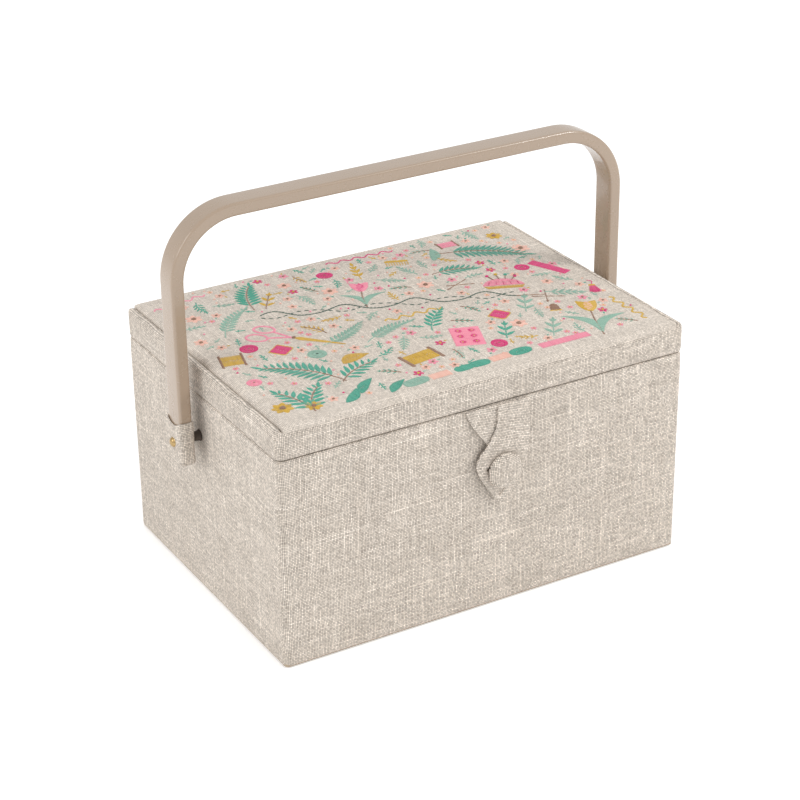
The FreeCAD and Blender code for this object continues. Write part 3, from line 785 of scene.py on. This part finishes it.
for name, sx in (("left", -1), ("right", 1)):
    ring = rectangle(4.75, 8.4, 2.6, step=0.9, arc=6)
    pts = ring[0]
    dip = (114.2 - 3.4 * (1 - np.clip(np.abs(pts[:, 1]) / 8.4, 0, 1) ** 2)
           - 0.9 * (1 - np.clip(np.abs(pts[:, 0]) / 4.75, 0, 1) ** 2))
    rows = [(0.35, 88.1), (0.1, 88.7), (0.0, 89.6)]
    rows += [(0.0, 89.6 + (dip - 0.9 - 89.6) * t) for t in np.linspace(0.05, 1, 18)]
    rows += [(0.06, dip - 0.35), (0.3, dip), (0.62, dip - 0.1), (0.85, dip - 0.8), (0.92, dip - 2.5)]
    P, UV = sleeve_grid(ring, rows, (sx * LEG_X, 0.0))
    soft = ease(P[..., 2], 89, 93) * (1 - ease(P[..., 2], 106, 110))
    wander(P, ring, soft, 0.0, 0.13, 11, 40 + sx)
    foot = []
    for scale, z0 in ((0.02, 87.75), (0.5, 87.75), (0.8, 87.8), (0.93, 87.9)):
        foot.append(np.column_stack([pts * scale + (sx * LEG_X, 0.0), np.full(len(pts), z0)]))
    P = np.concatenate([np.array(foot), P])
    lead = np.dstack(np.meshgrid(ring[2], [-6.0, -4.0, -2.0, -1.0]))
    UV = np.concatenate([lead, UV])
    sleeve = Mesh().grid(P, UV, wrap=True).make("handle_sleeve_%s_cloth" % name, LINEN)
    settle(sleeve, "handle", "linen", "handle_sleeve_" + name)
    rows = [(121.78, 0.02), (121.8, 2.6), (121.95, 3.2), (122.2, 3.4), (122.45, 3.3), (122.45, 2.0),
            (143.1, 2.0), (143.15, 3.2), (143.35, 3.35), (143.5, 3.1), (143.55, 2.75), (144.1, 2.7),
            (144.7, 2.3), (145.2, 1.6), (145.45, 0.8), (145.5, 0.02)]
    rivet = lathe("rivet_%s_brass" % name, rows, PIVOT, (sx, 0, 0), BRASS, n=32)
    settle(rivet, "handle_pivots", "rivet_brass", "rivet_" + name)
    rows = [(127.7, 2.1), (127.72, 3.0), (128.0, 3.3), (129.0, 2.8), (131.5, 2.6), (133.0, 2.8),
            (133.6, 3.3), (133.82, 3.0), (133.84, 2.1)]
    # the spacers take the near-black colour, which paints the shade of the gap beside each sleeve
    spacer = lathe("spacer_%s_plastic" % name, rows, PIVOT, (sx, 0, 0), SPACER_PAINTED_SHADE, n=32)
    settle(spacer, "handle_pivots", "washer_plastic", "spacer_" + name)
    softened("washer_" + name, "washer_%s_plastic" % name, "box", "washer_plastic", WASHER, 0.12)

# -------------------------------------------------------------------- tray

softened("tray_tub", "tray_tub_moulded", "tray", "tray_plastic", TRAY, 0.5)
for node in ("tray_divider_long", "tray_divider_front_left", "tray_divider_front_right", "tray_divider_back"):
    softened(node, node + "_moulded", "tray", "tray_plastic", TRAY, 0.4)

# -------------------------------------------------------------- embroidery


def toward(turn):
    return np.array([math.cos(turn), math.sin(turn)])


def leftward(d):
    """The vector a quarter turn to the left of d."""
    return np.array([-d[1], d[0]])


def bowed(base, tip, bend, n):
    """Steps from 0 to 1, the straight axis, and the points of a stem bowed to its left."""
    base, tip = np.array(base, float), np.array(tip, float)
    axis = tip - base
    t = np.linspace(0, 1, n)[:, None]
    return t, axis, base + axis * t + leftward(axis) * bend * 4 * t * (1 - t)


class Needlework:
    """Gathers stitches by thread colour and turns them into raised floss on the lid."""

    # where each row of a stitch lies across it, and how high it stands
    PROFILE = ((-1, 0.06), (-0.55, 0.78), (0, 1.0), (0.55, 0.78), (1, 0.06))

    def __init__(self):
        self.stitches, self.knots = {}, {}

    def stitch(self, col, a, b, width=0.56, lift=0.30):
        self.stitches.setdefault(col, []).append((a[0], a[1], b[0], b[1], width, lift))

    def satin(self, col, poly, angle, gap=0.43, lift=0.32, split=7.5):
        """Fill a closed outline with close parallel stitches at an angle."""
        c, s = math.cos(angle), math.sin(angle)
        p = np.asarray(poly, float) @ np.array([[c, -s], [s, c]])
        q = np.roll(p, -1, 0)
        for y in np.arange(p[:, 1].min() + gap / 2, p[:, 1].max(), gap):
            cross = (p[:, 1] <= y) != (q[:, 1] <= y)
            slope = (q[cross, 0] - p[cross, 0]) / (q[cross, 1] - p[cross, 1])
            xs = np.sort(p[cross, 0] + (y - p[cross, 1]) * slope)
            for a, b in zip(xs[::2], xs[1::2]):
                if b - a < 0.35:
                    continue
                a, b = a + rng.uniform(-0.12, 0.12), b + rng.uniform(-0.12, 0.12)
                parts = max(1, math.ceil((b - a) / split))
                cuts = [a + (b - a) * (k + rng.uniform(-0.25, 0.25)) / parts for k in range(1, parts)]
                for f, t in zip([a] + cuts, cuts + [b]):
                    yy = y + rng.uniform(-0.04, 0.04)
                    ends = [(x * c - yy * s, x * s + yy * c) for x in (f, t)]
                    self.stitch(col, *ends, gap * 1.3, lift)

    def line(self, col, path, width=0.8, step=2.3, gap=0.0, lift=0.34):
        """Stem stitch along a path, or running stitch when there is a gap."""
        path = np.asarray(path, float)
        length = running(path)
        lap, lean = (0, 0) if gap else (0.3, 0.10 * width)
        at = 0.0
        while at < length[-1] - 0.3:
            end = min(at + step, length[-1])
            a, b = (np.array([np.interp(x, length, path[:, k]) for k in (0, 1)]) for x in (at, end))
            d = (b - a) / (np.linalg.norm(b - a) + 1e-9)
            n = leftward(d) * lean
            self.stitch(col, a - d * lap - n, b + d * lap + n, width, lift)
            at = end + gap

    def spokes(self, col, centre, inner, outer, gap=0.46):
        """A ring filled with stitches that run out from its centre."""
        n = int(2 * PI * outer / gap)
        for k in range(n):
            d = toward(2 * PI * k / n)
            start = centre + d * (inner + rng.uniform(0, 0.15))
            self.stitch(col, start, centre + d * (outer + rng.uniform(-0.12, 0.12)), gap * 1.25, 0.36)

    def knot(self, col, centre, r=0.9):
        self.knots.setdefault(col, []).append((centre[0], centre[1], r))

    def leaf(self, col, base, tip, width, bend=0.0, slant=0.9):
        """A pointed leaf in satin stitch at a slant to its axis."""
        t, axis, spine = bowed(base, tip, bend, 22)
        side = leftward(axis)
        half = side / np.linalg.norm(side) * width / 2 * np.sin(PI * t ** 0.85) ** 0.85
        outline = np.vstack([spine + half, (spine - half)[::-1][1:-1]])
        self.satin(col, outline, math.atan2(axis[1], axis[0]) + slant)

    def frond(self, leafy, stem, base, tip, pairs, size, bend=0.0, spread=55, fat=0.34):
        """A stem with pairs of leaves, and one leaf at its tip."""
        t, axis, spine = bowed(base, tip, bend, 16)
        heading = math.atan2(axis[1], axis[0])
        for k in range(pairs):
            at = 0.2 + 0.74 * k / max(1, pairs - 1)
            p = np.array([np.interp(at, t[:, 0], spine[:, a]) for a in (0, 1)])
            length = size * (0.62 + 0.55 * math.sin(PI * min(1, at * 0.95 + 0.12)))
            for sign in (1, -1):
                d = toward(heading + sign * math.radians(spread - 22 * at))
                self.leaf(leafy, p + d * 0.6, p + d * length, length * fat, -0.05 * sign, 0.8 * sign)
        d = axis / np.linalg.norm(axis)
        self.leaf(leafy, spine[-1] - d * 0.5, spine[-1] + d * size * 0.75, size * fat * 0.8)
        self.line(stem, spine, 0.85)

    def blossom(self, petals, heart, centre, r, n=5, turn=0.3):
        centre = np.array(centre, float)
        for k in range(n):
            d = toward(turn + 2 * PI * k / n) * r
            self.leaf(petals, centre + d * 0.22, centre + d, r * 0.62)
        self.knot(heart, centre, r * 0.26)

    def button(self, col, centre, r, hole="brown"):
        """A sewn button: a rim of spokes, a filled middle and two crossed holes."""
        centre = np.array(centre, float)
        self.spokes(col, centre, r * 0.52, r)
        t = np.linspace(0, 2 * PI, 24)
        circle = np.column_stack([np.cos(t), np.sin(t)]) * r
        self.line(col, centre + circle * 0.5, 0.5)
        self.satin(col, centre + circle[:-1] * 0.46, 0.4)
        for a in (0.6, 0.6 + PI / 2):
            d = toward(a) * r * 0.24
            self.stitch(hole, centre - d, centre + d, 0.5, 0.6)

    def reel(self, col, ends, centre, along, length, width):
        """A reel: a block of thread between two end pieces."""
        d = toward(along)
        c, h, w = np.array(centre, float), d * length / 2, leftward(d) * width / 2
        self.satin(col, [c - h - w, c + h - w, c + h + w, c - h + w], along + PI / 2)
        for sign in (-1, 1):
            e, p, q = c + sign * h * 1.12, h * 0.13, w * 1.3
            self.satin(ends, [e - p - q, e + p - q, e + p + q, e - p + q], along)

    def tulip(self, head, dark, base, tip, size, spread):
        """A stem with two long leaves and a head of three petals."""
        base, tip = np.array(base, float), np.array(tip, float)
        d = (tip - base) / np.linalg.norm(tip - base)
        n = leftward(d)
        self.line("brown", [base, base + (tip - base) * 0.6 + n * 0.6, tip], 1.0)
        for sign in (1, -1):
            far = base + d * spread * 0.86 + n * sign * spread * 0.62
            self.leaf("sage", base + d * 2, far, spread * 0.20, -0.22 * sign, 0.9 * sign)
        for sign in (1, -1):
            far = tip + d * size + n * sign * size * 0.42
            self.leaf(head, tip - d * 0.5, far, size * 0.55, -0.10 * sign, 0.7 * sign)
        self.leaf(dark, tip, tip + d * size * 0.95, size * 0.46)

    def zigzag(self, col, a, b, waves, swing, width=1.5):
        t, axis, path = bowed(a, b, 0.0, waves * 12 + 1)
        side = leftward(axis) / np.linalg.norm(axis) * swing
        self.line(col, path + side * np.sin(t * waves * 2 * PI), width, step=1.5, lift=0.42)

    def needle(self, a, b):
        a, b = np.array(a, float), np.array(b, float)
        self.line("brown", [a, b], 0.7, step=7, lift=0.36)
        self.leaf("brown", a, a + (b - a) * 0.18, 1.5)

    def build(self, name, col, material):
        """Every stitch and knot of one colour as one mesh that follows the lid."""
        mesh = Mesh()
        for number, (x0, y0, x1, y1, width, lift) in enumerate(self.stitches.get(col, [])):
            length = math.hypot(x1 - x0, y1 - y0)
            if length < 0.2:
                continue
            t = np.linspace(0, 1, max(3, min(6, math.ceil(length / 1.6))) + 1)
            side = np.array([y0 - y1, x1 - x0]) / length * width / 2
            taper = np.clip(np.minimum(t, 1 - t) * length / (0.7 * width), 0, 1) ** 0.5 * 0.72 + 0.28
            rise = (0.35 + 0.65 * np.sin(PI * t) ** 0.5) * lift * (0.85 + 0.3 * ((number * 0.618) % 1))
            x, y = x0 + (x1 - x0) * t, y0 + (y1 - y0) * t
            P = [np.column_stack([x + side[0] * off * taper, y + side[1] * off * taper, high * rise])
                 for off, high in self.PROFILE]
            v = 4 * number + np.arange(-2, 3) * width / 4 + 2
            mesh.grid(np.array(P), np.dstack(np.meshgrid(t * length, v)))
        turn, tilt = np.linspace(0, 2 * PI, 13)[:-1], np.linspace(0, PI / 2, 5)
        for number, (x, y, r) in enumerate(self.knots.get(col, [])):
            P = [np.column_stack([x + r * math.cos(a) * np.cos(turn + a),
                                  y + r * math.cos(a) * np.sin(turn + a),
                                  np.full(12, 0.04 + 0.75 * r * math.sin(a))]) for a in tilt]
            UV = np.dstack(np.meshgrid(np.arange(13) * r * 0.5, 4.0 * number + np.arange(5) * 0.4))
            mesh.grid(np.array(P), UV, wrap=True)
        P = np.concatenate(mesh.points)
        P[:, 2] += lid_height(P[:, 0], P[:, 1])
        mesh.points = [P]
        return settle(mesh.make(name, material), "lid", "embroidered_linen")


work = Needlework()
SLANT = math.radians(-20)


def local(cx, cy, turn=SLANT):
    """Map a motif's own coordinates on to the lid."""
    c, s = math.cos(turn), math.sin(turn)
    return lambda x, y: np.array([cx + x * c - y * s, cy + x * s + y * c])


# foliage: colours of leaf and stem, base, tip, pairs, leaf size, bend, spread, fatness
for leafy, stem, *shape in (
        ("teal", "brown", (-70, 44), (-57, 77), 9, 8, 0.08, 62, 0.30),
        ("teal", "brown", (-70, -62), (-101, -26), 11, 9.5, -0.10, 66, 0.27),
        ("teal", "brown", (-72, -62), (-48, -50), 6, 8, 0.10, 62, 0.28),
        ("teal", "brown", (-100, -84), (-108, -56), 6, 8, -0.08, 60, 0.32),
        ("teal", "brown", (-100, -84), (-86, -60), 6, 7.5, 0.10, 60, 0.32),
        ("teal", "brown", (58, 60), (104, 34), 13, 10, 0.10, 64, 0.25),
        ("teal", "brown", (40, 34), (66, 30), 7, 7.5, 0.10, 60, 0.28),
        ("sage", "sage", (82, -20), (100, -30), 5, 5.5),
        ("sage", "sage", (-100, 20), (-74, 48), 10, 5.5, 0.10, 58, 0.36),
        ("mustard", "brown", (-64, 42), (-54, 58), 3, 6, 0, 50),
        ("sage", "sage", (-60, -18), (-30, -4), 10, 5.5, -0.08, 56, 0.32),
        ("sage", "sage", (-38, -28), (-4, -16), 11, 5.5, 0.08, 56, 0.32),
        ("teal", "teal", (0, -33), (18, -12), 6, 6.5, 0.08, 54),
        ("sage", "sage", (58, -38), (68, -21), 3, 7, 0, 50),
        ("teal", "teal", (30, -62), (38, -47), 3, 6.5, 0, 50),
        ("sage", "sage", (54, -72), (64, -56), 3, 7, 0, 50),
        ("mustard", "mustard", (2, 50), (8, 72), 4, 5.5, 0, 38)):
    work.frond(leafy, stem, *shape)
for col, *shape in (
        ("teal", (-70, -79), (-57, -66), 6.5, 0.10), ("teal", (-82, -84), (-70, -72), 6.5, -0.10),
        ("teal", (-56, -86), (-43, -76), 6.0, 0.08), ("mustard", (-62, -44), (-44, -40), 9.5, 0.14),
        ("sage", (52, 52), (60, 70), 6.5, -0.10)):
    work.leaf(col, *shape)

# flowers
work.tulip("pink", "magenta", (-15, 13), (-7, 34), 13, 22)
work.tulip("mustard", "peach", (79, -84), (90, -55), 14, 30)
for cx, cy, r in ((-22, 44, 5.2), (29, 23, 5.4), (46, -49, 5.4), (107, 43, 6.0),
                  (-40, 66, 4.6), (-104, 52, 5.2), (-114, 22, 4.2), (92, -8, 3.8)):
    work.blossom("peach", "brown", (cx, cy), r, n=6)
for cx, cy, r in ((-98, -78, 5.2), (-113, -72, 6.2), (104, 68, 5.4)):
    work.blossom("mustard", "brown", (cx, cy), r, n=7)

# sewing things
for x, y, col, r in ((-96, 0, "magenta", 5.2), (-68, -26, "sage", 5.4), (-13, 67, "magenta", 5.0),
                     (23, -65, "magenta", 4.8), (91, 17, "magenta", 4.6), (-112, -38, "pink", 4.2)):
    work.button(col, (x, y), r, "brown" if col != "sage" else "green")
for cx, cy in ((-82, -11), (43, -34)):
    at = local(cx, cy, SLANT + 0.2)
    work.satin("magenta", [at(-6.8, 0), at(0, -6.8), at(6.8, 0), at(0, 6.8)], 0.5)
    work.line("mustard", [at(-7.1, 0), at(0, -7.1), at(7.1, 0), at(0, 7.1), at(-7.1, 0)], 0.8)
work.reel("mustard", "brown", (-110, -8), SLANT + 0.1, 11, 12)
work.reel("mustard", "brown", (-22, -58), SLANT + 0.5, 18, 11)
work.reel("pink", "brown", (72, 70), SLANT + 0.3, 10, 8)

# scissors
turn = math.radians(-48)
at = local(-69, -1, turn)
for sign in (1, -1):
    bow = [at(-19.5 + 6.2 * math.cos(a), sign * 5.6 + 4.3 * math.sin(a)) for a in np.linspace(0, 2 * PI, 30)]
    work.line("pink", bow, 2.1, step=1.3, lift=0.45)
    work.line("pink", [at(-13.6, sign * 4.2), at(0, -sign * 0.6)], 2.0, step=1.6, lift=0.45)
    blade = ((-1, -0.2), (4, -2.1), (30, -0.4), (30.5, 0), (2, 0.5))
    work.satin("mustard", [at(x, sign * y) for x, y in blade], turn + 1.2)
work.knot("brown", at(0, 0), 1.3)

# pincushion with pins
at = local(68, 1)
dome = [at(12 * math.cos(a), -2 + 10.5 * math.sin(a)) for a in np.linspace(0, PI, 22)]
work.satin("pink", dome, SLANT + PI / 2)
work.satin("mustard", [at(-12, -2.4), at(12, -2.4), at(10, -6.4), at(-10, -6.4)], SLANT + PI / 2)
for x, y, col in ((-7, 12.5, "magenta"), (-1.5, 14.5, "mustard"), (4, 13.5, "teal"), (9, 10.5, "magenta")):
    work.line("brown", [at(x * 0.6, y * 0.45), at(x, y)], 0.5, step=7, lift=0.6)
    work.knot(col, at(x, y), 1.15)
for k in range(5):
    work.stitch("magenta", at(-9 + 4.5 * k, -1.6), at(-7.5 + 4.0 * k, 4.2), 0.5, 0.6)



def oblong(col, place, hx, hy, angle):
    """A filled oblong about the origin of a motif's own coordinates."""
    work.satin(col, [place(x, y) for x, y in ((-hx, -hy), (hx, -hy), (hx, hy), (-hx, hy))], angle)


# card of buttons, tape measures, tassel, thimble
at = local(12.5, -49)
oblong("pink", at, 8.5, 11.5, SLANT)
for x in (-3.9, 3.9):
    for y in (-7, 0, 7):
        work.spokes("magenta", at(x, y), 0.3, 2.3, gap=0.6)
        work.knot("mustard", at(x, y), 0.6)

oblong("magenta", local(105, 10, math.radians(25)), 3.6, 13, math.radians(25))
oblong("pink", local(56, -79, 0.0), 16, 3.0, PI / 2)
at = local(110, -29)
for x in np.linspace(-3.4, 3.4, 12):
    work.stitch("magenta", at(x * 0.35, 4), at(x, -6.5 + 0.1 * x * x), 0.7, 0.45)
work.satin("mustard", [at(-2, 3.4), at(2, 3.4), at(2, 5.6), at(-2, 5.6)], SLANT)
work.line("magenta", [at(0, 5.6), at(1.5, 10), at(-1, 12)], 0.7)
at = local(75, -41)
work.satin("brown", [at(-3.2, -4), at(3.2, -4), at(2.4, 3), at(1, 4.4), at(-1, 4.4), at(-2.4, 3)], SLANT)
work.line("mustard", [at(-3.4, -4.2), at(3.4, -4.2)], 1.0)
for eye, point in (((72, -22), (89, -31)), ((76, -33), (84, -17)), ((36, 10), (53, 18)), ((38, 15), (54, 10))):
    work.needle(eye, point)
at = local(32, 61)
work.satin("mustard", [at(-7, 1), at(7, 1), at(7, 3.6), at(-7, 3.6)], SLANT)
for x in np.linspace(-6.4, 6.4, 9):
    work.line("mustard", [at(x, 1), at(x, -4.2)], 0.7, step=5.2)
work.zigzag("mustard", (-16, -9), (20, -9), 4, 2.0)
work.zigzag("mustard", (110, -44), (112, -78), 4, 2.0)
work.zigzag("pink", (-118, 74), (-84, 80), 4, 1.8, 1.2)
work.zigzag("magenta", (-4, 82), (40, 80), 5, 1.7, 1.1)

# a loose thread wandering across the middle to its needle, with a line of running stitch beside it
at = local(-72, 33, SLANT + 0.02)
along = np.linspace(0, 1, 400)
sway = 6.0 * np.sin(along * 2 * PI * 3.6 + 0.5) * (0.75 + 0.25 * np.sin(along * 23))
work.line("green", [at(146 * t, y) for t, y in zip(along, sway)], 0.95, step=2.0, lift=0.42)
work.line("green", [at(146 * t, -0.72 * y + 0.6) for t, y in zip(along, sway)], 0.85,
          step=3.0, gap=1.5, lift=0.40)
work.needle(at(146, sway[-1]), at(163, -4))

# wooden beads strung along the front edge
t = np.linspace(0, 2 * PI, 25)[:-1]
for x, y, long, wide, turn in ((-39, -81.5, 8.0, 4.6, 0.10), (-9, -80.5, 6.0, 3.8, 0.05),
                               (1, -80.0, 6.6, 4.2, 0.0), (28, -78.5, 7.0, 4.6, 0.05)):
    at = local(x, y, turn)
    bead = [at(long * math.cos(a), wide * math.sin(a) * (1 + 0.15 * math.cos(2 * a))) for a in t]
    work.satin("teal" if x > -20 else "sage", bead, turn + PI / 2 + 0.25)
for x, y in ((-24, -81), (14.5, -79.3)):
    at = local(x, y, 0.05)
    work.satin("peach", [at(-6.2, -3.0), at(6.2, -3.2), at(6.2, 3.2), at(-6.2, 3.0)], PI / 2 + 0.05)

# Sprigs, flowers and knots in the gaps that are left. Each row has the room that a gap needs, the
# tries, and a sprig's pairs of leaves, reach behind and ahead, leaf size and leaf fatness.
FILLERS = ((10.0, 300, 5, 0.9, 0.62, 0.40, 0.25), (7.4, 500, 4, 0.9, 0.62, 0.42, 0.27),
           (5.2, 900, 3, 0.85, 0.55, 0.44, 0.28), (3.6, 900, 2, 0.8, 0.5, 0.5, 0.34),
           (2.4, 260, 0, 0, 0, 0, 0))


def middles(stitches):
    return [((a + c) / 2, (b + d) / 2) for a, b, c, d, _, _ in stitches]


taken = np.array([m for group in work.stitches.values() for m in middles(group)])
for room, tries, pairs, behind, ahead, size, fat in FILLERS:
    wide = room > 7
    for k in range(tries):
        here = np.array([rng.uniform(-117 + room, 117 - room), rng.uniform(-84 + room, 88 - room)])
        if (np.hypot(*(taken - here).T) < room).any():
            continue
        turn = rng.uniform(0, 2 * PI)
        d = toward(turn) * room
        before = {col: len(group) for col, group in work.stitches.items()}
        leafy = ("sage", "teal", "sage", "teal", "mustard")[rng.integers(5)]
        petals = ("peach", "pink", "peach", "peach", "magenta")[rng.integers(5)]
        if not pairs:
            work.knot(petals, here, 0.7)
            work.stitch(petals, here - d * 0.1, here + d * 0.1, 0.4)
        elif wide or k % 3 == 0:
            bend = rng.uniform(-0.12, 0.12) if wide else 0.0
            stem = "brown" if wide and k % 2 else leafy
            work.frond(leafy, stem, here - d * behind, here + d * ahead, pairs, room * size, bend, fat=fat)
        elif room > 5:
            work.blossom(petals, "mustard" if petals == "magenta" else "brown", here, room * 0.62, turn=turn)
            work.leaf(leafy, here - d * 0.62, here - d, room * 0.22)
        else:
            work.blossom("peach" if k % 2 else "pink", "mustard", here, room * 0.55, turn=turn)
        new = [m for col, group in work.stitches.items() for m in middles(group[before.get(col, 0):])]
        taken = np.concatenate([taken, new])

FLOSS = {
    "teal": ((0.10, 0.44, 0.32), (0.04, 0.28, 0.20)),
    "sage": ((0.33, 0.52, 0.42), (0.20, 0.37, 0.29)),
    "mustard": ((0.70, 0.45, 0.06), (0.52, 0.31, 0.03)),
    "magenta": ((0.74, 0.05, 0.22), (0.55, 0.02, 0.14)),
    "pink": ((0.90, 0.34, 0.44), (0.78, 0.23, 0.33)),
    "peach": ((0.90, 0.58, 0.48), (0.80, 0.45, 0.36)),
    "brown": ((0.34, 0.20, 0.13), (0.22, 0.12, 0.08)),
    "green": ((0.055, 0.12, 0.085), (0.025, 0.07, 0.05)),
}
for col, (light, dark) in FLOSS.items():
    work.build("embroidery_" + col, col, thread("floss_" + col, light, dark))

# ------------------------------------------- boards that stay as CAD pieces

for node in ("base_board", "wall_front", "wall_back", "wall_left", "wall_right",
             "lid_rim_front", "lid_rim_back", "lid_rim_left", "lid_rim_right", "lid_board"):
    item = bpy.data.objects[node]
    item.data.materials.clear()
    item.data.materials.append(BOARD)

# ------------------------------------------------------------------- studio

s = Shade("studio_floor")
p = s.local()
s.bump(s.noise(p, 0.4, 2.0), 0.05, 0.02)
paper = s.mix(s.noise(p, 0.02, 2.0), (0.95, 0.95, 0.95), (0.965, 0.965, 0.965))
s.put(s.bsdf, {"Emission Color": (1.0, 1.0, 1.0), "Emission Strength": 0.22})
floor_material = s.finish(paper, 0.95, specular=0.05)
X, Y = np.meshgrid(np.linspace(-4000, 4000, 9), np.linspace(-4000, 4000, 9))
floor = Mesh().grid(np.dstack([X, Y, 0 * X - 0.05]), np.dstack([X, Y])).make("studio_floor", floor_material)

world = bpy.data.worlds.new("studio")
bpy.context.scene.world = world
world.use_nodes = True
sky = world.node_tree.nodes["Background"].inputs
sky["Color"].default_value, sky["Strength"].default_value = (1.0, 1.0, 1.0, 1.0), 0.86


def lamp(name, place, target, size, energy, colour=(1, 1, 1)):
    """A round soft lamp that points at a target."""
    data = bpy.data.lights.new(name, "AREA")
    data.shape = "DISK"
    data.size, data.energy, data.color = size, energy, colour
    item = bpy.data.objects.new(name, data)
    item.location = place
    item.rotation_euler = (Vector(target) - Vector(place)).to_track_quat("-Z", "Y").to_euler()
    bpy.context.scene.collection.objects.link(item)


lamp("key", (1.0, -0.75, 1.15), (0, 0, 0.10), 0.45, 9.0, (1.0, 0.99, 0.975))
lamp("fill", (-1.3, -0.1, 0.9), (0, 0, 0.10), 0.9, 6.0)

AZIMUTH, ELEVATION, ROLL = -29.967, 26.305, -0.727
az, el, roll = (math.radians(a) for a in (AZIMUTH, ELEVATION, ROLL))
back = Vector((math.sin(az) * math.cos(el), -math.cos(az) * math.cos(el), math.sin(el)))
right = (-back).cross(Vector((0, 0, 1))).normalized()
up = right.cross(-back)
r_axis = right * math.cos(roll) + up * math.sin(roll)
u_axis = up * math.cos(roll) - right * math.sin(roll)
view = bpy.data.cameras.new("view")
view.lens, view.sensor_width = 100.42, 36.0
camera = bpy.data.objects.new("view", view)
camera.matrix_world = Matrix((
    (r_axis.x, u_axis.x, back.x, -0.571956),
    (r_axis.y, u_axis.y, back.y, -0.988427),
    (r_axis.z, u_axis.z, back.z, 0.652593),
    (0, 0, 0, 1)))
bpy.context.scene.collection.objects.link(camera)
bpy.context.scene.camera = camera
bpy.context.scene.view_settings.view_transform = "Standard"
bpy.context.scene.view_settings.look = "None"
